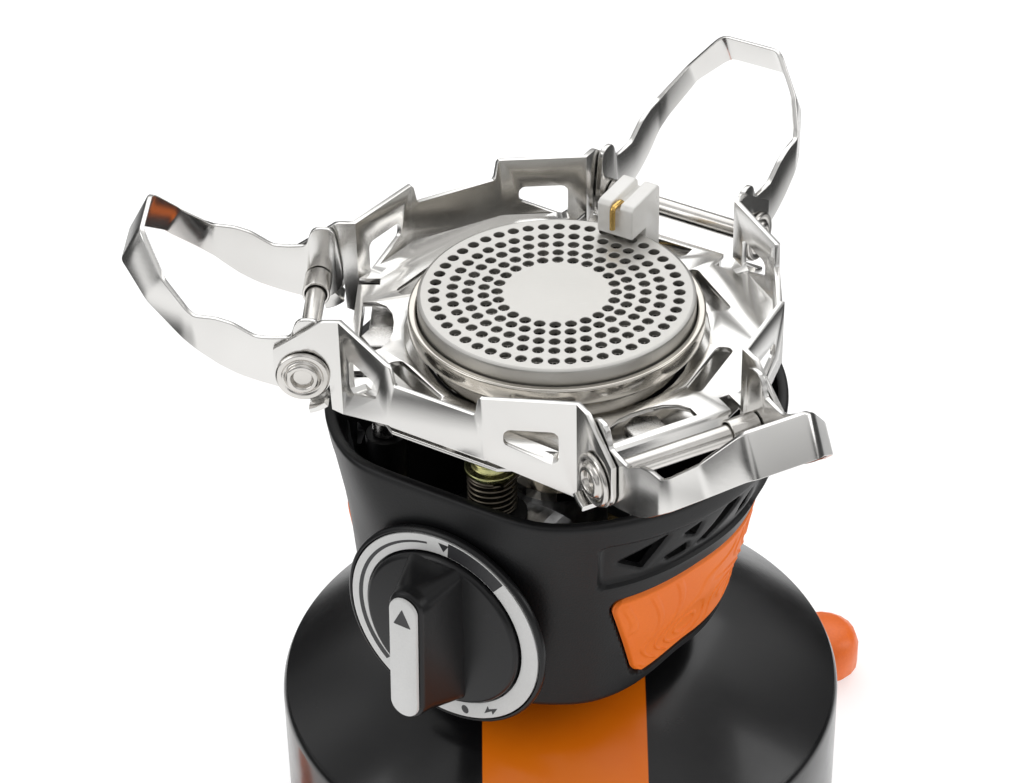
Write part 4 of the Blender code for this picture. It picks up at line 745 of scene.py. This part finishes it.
def arc_band(start, end, inner, outer, steps=48):
    """Band on the scale between two clock angles. Its inner and outer edges run evenly from
    their first radius to their last."""
    a = np.radians(90.0 - np.linspace(start, end, steps))
    edges = [np.linspace(*edge, steps)[:, None] * np.stack([np.cos(a), np.sin(a)], -1)
             for edge in (outer, inner)]
    return np.concatenate([edges[0], edges[1][::-1]])


def at_clock(shape, clock, radius):
    """Puts a small (across, out) shape on the scale at a clock angle in degrees."""
    a = math.radians(90.0 - clock)
    out, across = np.array([math.cos(a), math.sin(a)]), np.array([math.sin(a), -math.cos(a)])
    shape = np.asarray(shape, float) * MM
    return out * (radius + shape[:, 1:2]) + across * shape[:, 0:1]


bolt = [(-1.8, 0.0), (0.1, 1.05), (-0.1, 0.3), (1.9, 0.45), (0.1, -0.9), (0.25, -0.2)]
drop_turn = np.linspace(0, math.tau, 20, endpoint=False)
drop = np.column_stack([0.75 * np.sin(drop_turn), 0.95 * np.cos(drop_turn)])
marks = [arc_band(-135.0, -9.0, (17.35 * MM, 18.35 * MM), (18.5 * MM, 18.75 * MM)),
         arc_band(5.0, 41.0, (16.85 * MM, 16.85 * MM), (19.95 * MM, 19.95 * MM)),
         at_clock([(-1.1, 0.8), (1.1, 0.8), (0, -0.9)], 2.0, 18.5 * MM),
         at_clock(bolt, 148.0, 18.4 * MM), at_clock(drop, 167.0, 18.4 * MM)]
mark_ink = moulded("mark_ink", (0.03, 0.03, 0.032), (0.02, 0.02, 0.022), 0.42, 2600.0, 0.1)
fitted(plaques("scale_marks", marks, RING + 0.65 * MM, RING + 0.735 * MM, knob_place), "stove",
       "housing_plastic", mark_ink)


def bar_outline(length, width, middle, corner=None, n=20):
    """Rounded rectangle, length along y: four quarter circles of radius corner, which is half
    the width where none is given."""
    corner = width / 2 if corner is None else min(corner, width / 2)
    a = np.linspace(0, math.pi / 2, n)
    quarters = [np.column_stack([np.cos(a + k * math.pi / 2), np.sin(a + k * math.pi / 2)])
                * corner + ((width / 2 - corner) * x, (length / 2 - corner) * y)
                for k, (x, y) in enumerate(((1, 1), (-1, 1), (-1, -1), (1, -1)))]
    return np.concatenate(quarters) + np.asarray(middle)


def leant(outline, degrees):
    """Turns an outline about the knob's axis: the fin's face leans a little to the left."""
    c, t = math.cos(math.radians(-degrees)), math.sin(math.radians(-degrees))
    return outline @ np.array([[c, t], [-t, c]])


def fin_skin():
    """The fin: outlines stacked from the dial to the index plate. Its flanks run straight from
    a 11.8 mm root with tight corners to a 7 mm bar with round ends and a rounded top edge."""
    low = DIAL_BACK + 1.5 * MM
    rings = []
    for share in np.concatenate([np.linspace(0, 0.9, 24), np.linspace(0.91, 1, 9)]):
        crown = 1 - math.sqrt(max(0.0, 1 - max(0.0, (share - 0.93) / 0.07) ** 2))
        width = 7.0 + 4.8 * (1 - share) ** 1.12 - 0.9 * crown
        length = 30.4 - 1.6 * share ** 0.8 - 0.9 * crown
        middle = ((-0.7 - 0.35 * share) * MM, 0.4 * MM)
        outline = bar_outline(length * MM, width * MM, middle, (2.0 + 2.6 * share) * MM)
        outline = leant(outline, FIN_LEAN * share)
        rings.append(np.column_stack([outline, np.full(len(outline),
                                                       low + share * (HANDLE_TOP - low))]))
    caps = [np.repeat(rings[end].mean(0)[None], len(rings[end]), 0) for end in (0, -1)]
    return np.stack([caps[0], *rings, caps[1]])


dial_outline = filleted([(0, DIAL_BACK), (DIAL, DIAL_BACK), (DIAL, DIAL_BACK + 1.2 * MM),
                         (DIAL - 0.6 * MM, DIAL_BACK + 1.8 * MM), (0, DIAL_BACK + 1.8 * MM)],
                        0.3 * MM, 3, False)
dial = skinned("dial_and_fin", [(spun(dial_outline, 160), False, True), (fin_skin(), False, True)],
               knob_place, 38.0)
fitted(dial, "knob", "housing_plastic", knob_black, "knob")
plate_low, plate_top = HANDLE_TOP + 0.25 * MM, KNOB_FACE + 13.9 * MM
index_levels = [(0.0, plate_low), (0.0, plate_top - 0.35 * MM), (0.1, plate_top - 0.12 * MM),
                (0.3, plate_top)]
index_rings = [np.column_stack([leant(bar_outline((27.2 - 2 * cut) * MM, (5.8 - 2 * cut) * MM,
                                                  (-1.05 * MM, 0.4 * MM)), FIN_LEAN),
                                np.full(80, h)]) for cut, h in index_levels]
index_caps = [np.repeat(ring.mean(0)[None], 80, 0) for ring in (index_rings[0], index_rings[-1])]
index = skinned("index_plate", [(np.stack([index_caps[0], *index_rings, index_caps[1]]), False,
                                 True)], knob_place)
fitted(index, "knob", "scale_grey", scale_grey, "knob_face")
pointer = leant(np.array([(-2.9, 8.2), (0.8, 8.2), (-1.05, 12.0)]) * MM, FIN_LEAN)
fitted(plaques("index_pointer", [filleted(pointer, 0.25 * MM, 3)], plate_top - 0.05 * MM,
               plate_top + 0.04 * MM, knob_place), "knob", "housing_plastic", mark_ink)

# ---- Regulator and its spring -------------------------------------------------------------
# Die-cast valve block under the burner. Its spring tower shows at the front of the bowl: a
# dark music-wire coil under a yellow zinc-plated cap, with the coil's free end hooked aside.
TOWER = turned_by(KNOB_AZ)
TOWER_OUT, TOWER_SIDE = 30.1 * MM, 4.5 * MM
TOWER[:3, 3] = TOWER[:3, 0] * TOWER_OUT + TOWER[:3, 1] * TOWER_SIDE
SPRING_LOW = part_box("regulator_spring")[0].z
SPRING_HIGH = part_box("regulator_spring")[1].z


def bar_along(path, radius, sides, about):
    """Round bar on a path: rings around each point in the plane of (tangent x about) and its
    perpendicular, closed by a point at each end."""
    path = np.asarray(path, float)
    ahead = np.gradient(path, axis=0)
    ahead /= np.linalg.norm(ahead, axis=1, keepdims=True)
    side = np.cross(ahead, about)
    side /= np.linalg.norm(side, axis=1, keepdims=True)
    other = np.cross(side, ahead)
    a = np.linspace(0, math.tau, sides, endpoint=False)
    reach = np.broadcast_to(np.asarray(radius, float), (len(path),)).copy()
    rings = path[:, None] + reach[:, None, None] * (
        np.cos(a)[None, :, None] * side[:, None] + np.sin(a)[None, :, None] * other[:, None])
    ends = [np.repeat(rings[k].mean(0)[None], sides, 0)[None] for k in (0, -1)]
    return np.concatenate([ends[0], rings, ends[1]])


def flowing(points, count, soften):
    """Line through points at count equal steps, then averaged with its neighbours (1, 2, 1)/4
    soften times, so that its corners turn into bends."""
    points = np.asarray(points, float)
    run = np.concatenate([[0], np.cumsum(np.linalg.norm(np.diff(points, axis=0), axis=1))])
    at = np.linspace(0, run[-1], count)
    line = np.stack([np.interp(at, run, points[:, k]) for k in range(points.shape[1])], -1)
    for _ in range(soften):
        line[1:-1] = (line[:-2] + 2 * line[1:-1] + line[2:]) / 4
    return line


def coil_path():
    """Helix of seven close turns, its end turns lying flat."""
    t = np.linspace(0, 1, 420)
    a = math.tau * 7.1 * t
    wire = 0.46 * MM
    rise = np.interp(t, [0, 0.1, 0.9, 1.0], [0, 0.02, 0.98, 1.0])
    z = SPRING_LOW + wire + (SPRING_HIGH - SPRING_LOW - 2 * wire) * rise
    return np.stack([4.1 * MM * np.cos(a), 4.1 * MM * np.sin(a), z], -1)


spring_wire = steel("spring_wire", (0.19, 0.165, 0.13), (0.08, 0.07, 0.055), 0.3, (1, 1, 1), 900.0)
coil = skinned("tower_spring", [(bar_along(coil_path(), 0.46 * MM, 14, (0, 0, 1)), False, True)],
               TOWER, 60.0)
fitted(coil, "stove", "burner_steel", spring_wire, "regulator_spring")
cap_low = SPRING_HIGH + 0.3 * MM
cap = lathe("tower_cap", [
    (0, SPRING_LOW), (1.4 * MM, SPRING_LOW), (1.4 * MM, cap_low), (4.9 * MM, cap_low),
    (4.9 * MM, cap_low + 0.9 * MM), (3.6 * MM, cap_low + 1.1 * MM),
    (3.4 * MM, cap_low + 2.2 * MM), (2.4 * MM, cap_low + 2.8 * MM),
    (1.2 * MM, cap_low + 2.1 * MM), (0, cap_low + 2.0 * MM)], TOWER, 72, 0.2 * MM, False)
zinc = steel("yellow_zinc", (0.72, 0.66, 0.30), (0.36, 0.40, 0.20), 0.25, (1, 1, 1), 500.0, 140.0)
fitted(cap, "stove", "housing_plastic", zinc, "spring_cap")
hook = flowing([(3.0, 4.2, 7.6), (-2.0, 5.0, 8.2), (-4.5, 8.5, 9.4), (-4.2, 10.6, 10.2),
                (-2.4, 10.8, 10.6), (-2.2, 9.4, 10.4)], 90, 14) * MM + (0, 0, SPRING_LOW)
hooked = skinned("spring_hook", [(bar_along(hook, 0.45 * MM, 12, (0.2, 0.1, 1)), False, True)],
                 TOWER, 60.0)
fitted(hooked, "stove", "burner_steel", spring_wire)
cast_metal = steel("cast_metal", (0.62, 0.62, 0.62), (0.30, 0.30, 0.30), 0.36, (1, 1, 1), 420.0,
                   260.0, 1.0)
finished(cast_metal, "regulator_body")

# ---- Burner head --------------------------------------------------------------------------
# Spun steel cup on the mixing tube. A pressed plate with five rings of punched holes is let
# into its rim over a fine woven screen.
PLATE_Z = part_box("burner_plate")[1].z
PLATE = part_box("burner_plate")[1].x
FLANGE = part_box("burner_cup")[1].x
HOLE = 1.02 * MM
HOLE_RINGS = ((10.9, 24, 0.0), (13.4, 30, 0.5), (16.3, 36, 0.0), (19.2, 42, 0.5),
              (22.5, 48, 0.0))


def punched_plate(sides=26, lip=0.10 * MM, thick=0.95 * MM):
    """Top and under side triangulated between rim and holes, joined through each hole by a
    wall whose upper edge is dished: radii hole + lip, + 0.4 lip, 0 at rising depth."""
    rim_turn = np.linspace(0, math.tau, 192, endpoint=False)
    rim = PLATE - 0.7 * MM
    a = np.linspace(0, math.tau, sides, endpoint=False)
    ring = np.stack([np.cos(a), np.sin(a)], -1)
    centres = np.concatenate([np.stack([
        r * MM * np.cos(math.tau * (np.arange(n) + shift) / n),
        r * MM * np.sin(math.tau * (np.arange(n) + shift) / n)], -1)
        for r, n, shift in HOLE_RINGS])
    holes = centres[:, None] + (HOLE + lip) * ring
    flat = np.concatenate([rim * np.stack([np.cos(rim_turn), np.sin(rim_turn)], -1),
                           holes.reshape(-1, 2)])
    loops = [np.arange(192)] + [192 + sides * k + np.arange(sides) for k in range(len(centres))]
    edges = np.concatenate([np.stack([loop, np.roll(loop, -1)], -1) for loop in loops])
    scaled = [mathutils.Vector(p) for p in flat * 1000]
    out = mathutils.geometry.delaunay_2d_cdt(scaled, edges.tolist(), [], 0, 1e-5)
    sheet = np.array([tuple(v) for v in out[0]]) / 1000
    faces = np.array(out[2])
    nearest = np.linalg.norm(sheet[:, None] - centres[None], axis=-1).argmin(1)
    reach = np.linalg.norm(sheet - centres[nearest], axis=1)
    of_hole = np.abs(reach - HOLE - lip) < 0.01 * MM
    owner = np.where(of_hole, nearest, -1)[faces]
    faces = faces[(owner[:, 0] < 0) | (owner != owner[:, :1]).any(1)]
    under = np.where(of_hole[:, None], centres[nearest] + (sheet - centres[nearest])
                     * (HOLE / (HOLE + lip)), sheet)
    points = [np.column_stack([sheet, np.full(len(sheet), PLATE_Z)]),
              np.column_stack([under, np.full(len(sheet), PLATE_Z - thick)])]
    quads, start = [faces, faces + len(sheet)], 2 * len(sheet)
    wall = [(HOLE + lip, 0.0), (HOLE + 0.4 * lip, 0.035 * MM), (HOLE, 0.13 * MM), (HOLE, thick)]
    levels = np.stack([np.concatenate([centres[:, None] + r * ring, np.full(
        (len(centres), sides, 1), PLATE_Z - depth)], -1) for r, depth in wall], 1)
    cell = steps_over(len(wall), sides, False, True)
    block = len(wall) * sides
    walls = (cell[None] + (start + block * np.arange(len(centres)))[:, None, None]).reshape(-1, 4)
    points.append(levels.reshape(-1, 3))
    start += block * len(centres)
    edge = [(rim, 0.0), (PLATE - 0.35 * MM, 0.13 * MM), (PLATE - 0.1 * MM, 0.3 * MM),
            (PLATE, 0.62 * MM), (PLATE, 4.6 * MM), (PLATE - 0.9 * MM, 4.6 * MM),
            (PLATE - 0.9 * MM, 1.1 * MM), (rim, thick)]
    skirt = spun([(r, PLATE_Z - depth) for r, depth in edge], 192)
    points.append(skirt.reshape(-1, 3))
    quads_wall = np.concatenate([walls, steps_over(len(edge), 192, False, True) + start])
    mesh = bpy.data.meshes.new("punched_plate")
    mesh.from_pydata(np.concatenate(points), [], np.concatenate(quads).tolist()
                     + quads_wall.tolist())
    return cleaned("punched_plate", mesh, 16.0)


plate_steel = steel("plate_steel", (0.60, 0.59, 0.565), (0.55, 0.54, 0.515), 0.40, (1, 4, 1), 900.0,
                    26.0, 0.02)
cup_steel = steel("cup_steel", (0.64, 0.61, 0.56), (0.57, 0.54, 0.49), 0.14, (1, 1, 30), 220.0,
                  26.0, 0.015)
fitted(punched_plate(), "stove", "burner_steel", plate_steel, "burner_plate")
ledge = PLATE_Z - 5.0 * MM
tube_top = ledge - 16.0 * MM
neck, bowl_r, seat = 8.3 * MM, PLATE - 2.4 * MM, PLATE + 0.3 * MM
cup = lathe("spun_cup", [
    (neck, tube_top - 4.0 * MM), (neck + 1.3 * MM, tube_top - 4.0 * MM),
    (neck + 1.3 * MM, tube_top), (neck + 4.5 * MM, tube_top + 3.0 * MM),
    (bowl_r - 1.0 * MM, tube_top + 7.2 * MM), (bowl_r + 1.0 * MM, tube_top + 9.2 * MM),
    (bowl_r + 1.2 * MM, ledge - 2.6 * MM), (FLANGE, ledge - 1.5 * MM),
    (FLANGE, PLATE_Z - 3.3 * MM), (FLANGE - 0.3 * MM, PLATE_Z - 3.0 * MM),
    (seat, PLATE_Z - 3.0 * MM), (seat, ledge), (bowl_r, ledge), (bowl_r, tube_top + 10.0 * MM),
    (bowl_r - 1.6 * MM, tube_top + 8.3 * MM), (neck + 4.0 * MM, tube_top + 4.4 * MM),
    (neck, tube_top + 1.6 * MM)], segments=192, radius=0.5 * MM)
fitted(cup, "stove", "cast_aluminium", cup_steel, "burner_cup")


def woven_screen_material():
    """Fine plain weave: two crossed sets of wires in their steel colour on the crowns, with painted
    shade (near black) in the gaps between them.
    """
    material, tree, shader, where = shader_of("woven_screen", metallic=0.9)
    sets = []
    for axis in ("X", "Y"):
        wave = tree.nodes.new("ShaderNodeTexWave")
        wave.bands_direction = axis
        wave.inputs["Scale"].default_value = 420.0
        wave.inputs["Distortion"].default_value = 0.6
        tree.links.new(where, wave.inputs["Vector"])
        sets.append(wave.outputs["Fac"])
    crowns = worked(tree, "MAXIMUM", *sets)
    # Base colour: wire colour on the crowns and painted shade between the wires, where the gaps
    # would be dark.
    tree.links.new(blended(tree, spread(tree, crowns, 0.55, 0.95), (0.02, 0.02, 0.02),
                           (0.62, 0.60, 0.56)), shader.inputs["Base Color"])
    tree.links.new(spread(tree, noise(tree, where, 300.0), 0.3, 0.7, 0.3, 0.5),
                   shader.inputs["Roughness"])
    bumped(tree, shader, crowns, 0.8, 0.0003)
    return material


finished(woven_screen_material(), "burner_mesh")
finished(cup_steel, "mixing_tube")

# ---- Heat shield and its posts ------------------------------------------------------------
# A three-sided plate keeps the burner's heat off the housing. It stands on three turned posts
# and is held by thin hexagon nuts.
sheet_steel = steel("sheet_steel", (0.74, 0.73, 0.71), (0.62, 0.61, 0.59), 0.22, (1.0, 1.0, 9.0),
                    330.0, 34.0, 0.05)
shield = softened("heat_shield", 0.18 * MM, "shield_plate", 30.0)
fitted(shield, "stove", "stainless_steel", sheet_steel, "heat_shield")
SHIELD_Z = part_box("heat_shield")[0].z
for name, azimuth in zip(("left", "right", "rear"), POST_AZ):
    place = turned_by(azimuth)
    place[:3, 3] = place[:3, 0] * POST_X
    post_low, post_high = RIM_Z - 10.7 * MM, SHIELD_Z - 0.3 * MM
    post = lathe("post_" + name, [
        (0, post_low), (2.6 * MM, post_low), (2.6 * MM, post_low + 3 * MM),
        (2.1 * MM, post_low + 3.3 * MM), (2.1 * MM, post_high - 2.0 * MM),
        (2.6 * MM, post_high - 1.7 * MM), (2.6 * MM, post_high), (0, post_high)],
        place, 48, 0.15 * MM, False)
    fitted(post, "stove", "burner_steel", rivet_steel, "shield_post_" + name)
    nut = softened("shield_nut_" + name, 0.12 * MM, "post_nut_" + name, 25.0)
    fitted(nut, "stove", "burner_steel", rivet_steel, "shield_nut_" + name)

# ---- Igniter ------------------------------------------------------------------------------
# Glazed ceramic block beside the burner with a gold-coloured wire in its groove; an insulated
# lead runs down behind the shield to the piezo unit at the knob.
ceramic, tree, shader, where = shader_of("glazed_ceramic", coat=0.5, coat_roughness=0.08)
mottle = spread(tree, noise(tree, where, 130.0, 4.0), 0.35, 0.7)
tree.links.new(blended(tree, mottle, (0.86, 0.85, 0.82), (0.80, 0.785, 0.75)),
               shader.inputs["Base Color"])
tree.links.new(spread(tree, noise(tree, where, 340.0, 4.0), 0.3, 0.7, 0.26, 0.42),
               shader.inputs["Roughness"])
bumped(tree, shader, noise(tree, where, 900.0, 3.0), 0.12, 0.0001)
block = softened("electrode_ceramic", 0.55 * MM, "electrode_block", 30.0, 3)
fitted(block, "stove", "electrode_ceramic", ceramic, "electrode_ceramic")
wire_gold = steel("wire_gold", (0.86, 0.62, 0.24), (0.62, 0.38, 0.10), 0.2, (1, 1, 1), 700.0)
block_x, block_top, wire = FLANGE + 0.3 * MM, PLATE_Z + 8.0 * MM, 0.55 * MM
front, rear, run = block_x - 7.55 * MM, block_x + 4.55 * MM, block_top - 0.95 * MM
inside_run = run - 2.6 * MM
route = flowing([(front, 0, run - 4.5 * MM), (front, 0, run), (front + 3.2 * MM, 0, run),
                 (front + 4.6 * MM, 0, inside_run), (rear, 0, inside_run),
                 (rear, 0, SHIELD_Z - 4.0 * MM)], 160, 10)
electrode = skinned("electrode_bent_wire", [(bar_along(route, wire, 14, (0, 1, 0)), False, True)],
                    turned_by(60.0), 50.0)
fitted(electrode, "stove", "brass", wire_gold, "electrode_wire")
lead_cover = moulded("lead_cover", (0.70, 0.68, 0.63), (0.60, 0.58, 0.53), 0.42, 1500.0, 0.2)
finished(lead_cover, "igniter_lead")
finished(housing_black, "piezo_body")
finished(wire_gold, "piezo_plunger")

# ---- Pot support --------------------------------------------------------------------------
# Stamped stainless wall in three spans on a pan, folded at six bends, with ears for the arms
# and four-sided windows. Deburred edges catch the light.
ring_steel = steel("ring_steel", (0.76, 0.75, 0.73), (0.69, 0.68, 0.66), 0.2, (1.0, 1.0, 8.0),
                   300.0, 30.0, 0.05)
wall = softened("pot_ring", 0.16 * MM, "pot_ring_stamping", 30.0)
fitted(wall, "pot_support", "stainless_steel", ring_steel, "pot_ring")
PIVOT_X, HALF = 45.3 * MM, 17.2 * MM
PIVOT_Z = PLATE_Z - 6.9 * MM
HINGES = {"left": 180.0, "back": 60.0, "right": -60.0}
pivot = np.array([[1, 0, 0, PIVOT_X], [0, 0, 1, 0], [0, -1, 0, PIVOT_Z], [0, 0, 0, 1.0]])


def pin_outline():
    """Half of a riveted pin from its middle to the head: shank, domed washer, raised bead and
    a socket sunk in the middle."""
    head = HALF + 0.3 * MM
    out = [(1.85, 0.0), (4.9, 0.0), (4.9, 0.45), (4.6, 0.8), (3.9, 0.72), (3.5, 0.5),
           (3.15, 0.75), (2.95, 1.3), (2.65, 1.5), (2.1, 1.5), (1.9, 1.2), (1.7, 0.45), (0, 0.4)]
    return [(r * MM, head + y * MM) for r, y in out]


half = pin_outline()
pin_profile = [(r, -y) for r, y in reversed(half)] + half
pin_steel = steel("pin_steel", (0.74, 0.72, 0.69), (0.52, 0.50, 0.47), 0.2, (1, 1, 1), 800.0)
ARM_HALF = HALF - 1.3 * MM
for side, azimuth in HINGES.items():
    place = turned_by(azimuth) @ pivot
    pin = lathe("pivot_pin_" + side, pin_profile, place, 56, 0.12 * MM, False)
    fitted(pin, "pot_support", "stainless_steel", pin_steel, "arm_pin_" + side)
    inside_y = ARM_HALF - 1.3 * MM
    ends = (-inside_y, -inside_y + 5.5 * MM) if side == "left" else (inside_y - 5.5 * MM, inside_y)
    sleeve = lathe("sleeve_" + side, [(2.15 * MM, ends[0]), (2.6 * MM, ends[0]),
                                      (2.6 * MM, ends[1]), (2.15 * MM, ends[1])], place, 48,
                   0.12 * MM)
    fitted(sleeve, "pot_support", "stainless_steel", pin_steel, "pivot_sleeve_" + side)

# ---- Arms ---------------------------------------------------------------------------------
# Each arm is one strip of stainless sheet bent into a loop: two cheeks on the pivot, two
# shoulders and a cross piece at the tip. A lug on each cheek stops it against the wall.
CHEEK = [(-4.4, 2.4, -4.4, -1.6), (-3.4, 10.0, -3.5, -3.1), (-2.4, 10.8, -2.2, -4.1),
         (0.2, 10.8, 0.0, -4.6), (1.1, 9.9, 1.4, -4.5), (2.0, 7.0, 2.9, -4.2),
         (5.5, 6.9, 5.5, -3.4), (8.2, 7.1, 8.6, -2.3), (12.2, 9.9, 11.7, -1.0),
         (15.2, 11.0, 15.0, 1.0), (19.1, 11.5, 19.0, 4.3)]


def arm_line():
    """Stations (y, top x, top z, foot x, foot z) of half the strip from cheek to tip, then
    mirrored; the bends are rounded by flowing."""
    half_width = ARM_HALF / MM
    out = [(half_width, *row) for row in CHEEK]
    out += [(half_width - 0.7, 20.6, 12.6, 21.6, 6.4), (half_width - 3.8, 25.0, 17.3, 28.0, 12.4),
            (7.3, 28.4, 23.0, 32.0, 16.4), (6.0, 29.1, 23.8, 33.0, 17.0)]
    out = np.array(out)
    whole = np.concatenate([out * [-1, 1, 1, 1, 1], out[::-1]]) * MM
    return flowing(whole, 420, 9)


def arm_skin():
    """Sheet section carried along the stations: a rectangle of the strip's height and 1 mm
    thickness with rounded edges, its thickness to the left of the way it runs."""
    line = arm_line()
    top, foot = line[:, [1, 0, 2]], line[:, [3, 0, 4]]
    shift = np.array([PIVOT_X, 0, PIVOT_Z])
    top, foot = top + shift, foot + shift
    way = np.gradient((top + foot)[:, :2] / 2, axis=0)
    way /= np.linalg.norm(way, axis=1, keepdims=True)
    inward = np.column_stack([-way[:, 1], way[:, 0], np.zeros(len(way))])
    down = foot - top
    height = np.linalg.norm(down, axis=1, keepdims=True)
    down /= height
    sheet, edge = 1.0 * MM, 0.22 * MM
    corner = np.array([(0.0, 1.0), (0.08, 0.62), (0.29, 0.29), (0.62, 0.08), (1.0, 0.0)]) * edge
    share = np.concatenate([np.zeros(5), np.ones(5), np.ones(5), np.zeros(5)])
    along = np.concatenate([corner[::-1, 0] * 0 + corner[::-1, 1], -corner[:, 1],
                            -corner[::-1, 1], corner[:, 1]])
    depth = np.concatenate([corner[::-1, 0], corner[:, 0], sheet - corner[::-1, 0],
                            sheet - corner[:, 0]])
    span = share[None, :] * height + along[None, :]
    rings = (top[:, None] + down[:, None] * span[..., None]
             + inward[:, None] * depth[None, :, None])
    ends = [np.repeat(rings[k].mean(0)[None], rings.shape[1], 0)[None] for k in (0, -1)]
    return np.concatenate([ends[0], rings, ends[1]])


def lug_skins():
    """Stop lugs: a bent web on each cheek's inside and a tab that reaches over the ear, each a
    piece of a ring round the pivot between two angles."""
    skins = []
    for side in (-1, 1):
        for inner, outer, a0, a1, y0, y1 in (
                (3.4, 7.1, -262.0, -230.0, ARM_HALF - 0.1 * MM, ARM_HALF - 0.9 * MM),
                (6.0, 7.08, -261.0, -231.0, ARM_HALF - 0.5 * MM, HALF + 2.2 * MM)):
            a = np.radians(np.linspace(a0, a1, 10))
            corners = filleted([(inner * MM, y0), (outer * MM, y0), (outer * MM, y1),
                                (inner * MM, y1)], 0.2 * MM, 2)
            r, y = corners.T
            grid = np.stack([np.outer(np.cos(a), r), np.outer(np.sin(a), r),
                             np.repeat(side * y[None], len(a), 0)], -1)
            ends = [np.repeat(grid[k].mean(0)[None], len(r), 0)[None] for k in (0, -1)]
            grid = np.concatenate([ends[0], grid, ends[1]])
            skins.append((grid @ pivot[:3, :3].T + pivot[:3, 3], False, True))
    return skins


arm_steel = steel("arm_steel", (0.77, 0.76, 0.74), (0.68, 0.67, 0.65), 0.18, (1.0, 1.0, 7.0),
                  300.0, 28.0, 0.05)
for side, azimuth in HINGES.items():
    place = turned_by(azimuth)
    arm = skinned("arm_strip_" + side, [(arm_skin(), False, True)], place, 34.0)
    tool = skinned("pin_hole", [(spun([(0, -24 * MM), (2.2 * MM, -24 * MM), (2.2 * MM, 24 * MM),
                                       (0, 24 * MM)], 40), False, True)], place @ pivot)
    carved(arm, [tool], 34.0)
    fitted(arm, "arm_" + side, "stainless_steel", arm_steel, "arm_" + side)
    lugs = skinned("arm_lugs_" + side, lug_skins(), place, 34.0)
    fitted(lugs, "arm_" + side, "stainless_steel", arm_steel)

# ---- Floor, light and camera --------------------------------------------------------------
# Plain white sweep, a broad overhead light and two side lights. Dark flags on the floor at
# each side show only in reflections, and the surroundings have a few darker walls.
floor_mesh = bpy.data.meshes.new("floor")
floor_mesh.from_pydata([(-4, -4, -0.0002), (4, -4, -0.0002), (4, 4, -0.0002), (-4, 4, -0.0002)],
                       [], [(0, 1, 2, 3)])
floor = bpy.data.objects.new("floor", floor_mesh)
bpy.context.scene.collection.objects.link(floor)
floor_white, tree, shader, where = shader_of("floor_white", specular=0.1)
parts = tree.nodes.new("ShaderNodeSeparateXYZ")
tree.links.new(where, parts.inputs["Vector"])
beside = spread(tree, worked(tree, "ABSOLUTE", parts.outputs["X"]), 0.15, 0.27)
behind = spread(tree, parts.outputs["Y"], -0.24, -0.12)
rays = tree.nodes.new("ShaderNodeLightPath")
flagged = worked(tree, "MULTIPLY", worked(tree, "MULTIPLY", beside, behind),
                 rays.outputs["Is Glossy Ray"])
pale = blended(tree, spread(tree, noise(tree, where, 3.0), 0.3, 0.7), (0.60, 0.60, 0.60),
               (0.62, 0.62, 0.62))
tree.links.new(blended(tree, flagged, pale, (0.03, 0.03, 0.03)), shader.inputs["Base Color"])
shader.inputs["Roughness"].default_value = 0.8
tree.links.new(blended(tree, flagged, (1.0, 1.0, 1.0), (0.02, 0.02, 0.02)),
               shader.inputs["Emission Color"])
shader.inputs["Emission Strength"].default_value = 0.55
floor_mesh.materials.append(floor_white)


def soft_light(name, at, size, power, towards=(0.0, 0.0, 0.12)):
    light = bpy.data.lights.new(name, "AREA")
    light.shape = "RECTANGLE"
    light.size, light.size_y = size
    light.energy = power
    lamp = bpy.data.objects.new(name, light)
    away = mathutils.Vector(at) - mathutils.Vector(towards)
    lamp.rotation_euler = away.to_track_quat("Z", "Y").to_euler()
    lamp.location = at
    bpy.context.scene.collection.objects.link(lamp)
    return lamp


soft_light("overhead", (0.05, 0.75, 1.2), (1.5, 1.3), 6.2)
soft_light("left_panel", (-1.1, -0.35, 0.75), (0.7, 0.9), 3.2)
soft_light("right_panel", (1.1, 0.1, 0.6), (0.5, 0.9), 2.4)
world = bpy.data.worlds.new("studio")
bpy.context.scene.world = world
world.use_nodes = True
tree = world.node_tree
direction = tree.nodes.new("ShaderNodeTexCoord").outputs["Generated"]
walls = noise(tree, stretched(tree, direction, (1.0, 1.0, 0.55)), 1.9, 1.0)
tone = spread(tree, walls, 0.38, 0.60)
parts = tree.nodes.new("ShaderNodeSeparateXYZ")
tree.links.new(direction, parts.inputs["Vector"])
height = spread(tree, parts.outputs["Z"], 0.05, 0.75)
sky = worked(tree, "MULTIPLY_ADD", height, 0.55, worked(tree, "MULTIPLY", tone, 0.55))
backdrop = tree.nodes["Background"]
tree.links.new(blended(tree, sky, (0.03, 0.03, 0.03), (1.0, 1.0, 1.0)), backdrop.inputs["Color"])
backdrop.inputs["Strength"].default_value = 0.85
camera = bpy.data.cameras.new("camera")
camera.lens = 101.88
camera.sensor_width = 36.0
camera.sensor_fit = "HORIZONTAL"
camera.clip_start = 0.01
eye = bpy.data.objects.new("camera", camera)
eye.location = (0.011988, -0.447316, 0.445473)
eye.rotation_euler = (0.959327, 0.015666, 0.033151)
bpy.context.scene.collection.objects.link(eye)
bpy.context.scene.camera = eye
bpy.context.scene.view_settings.view_transform = "Standard"
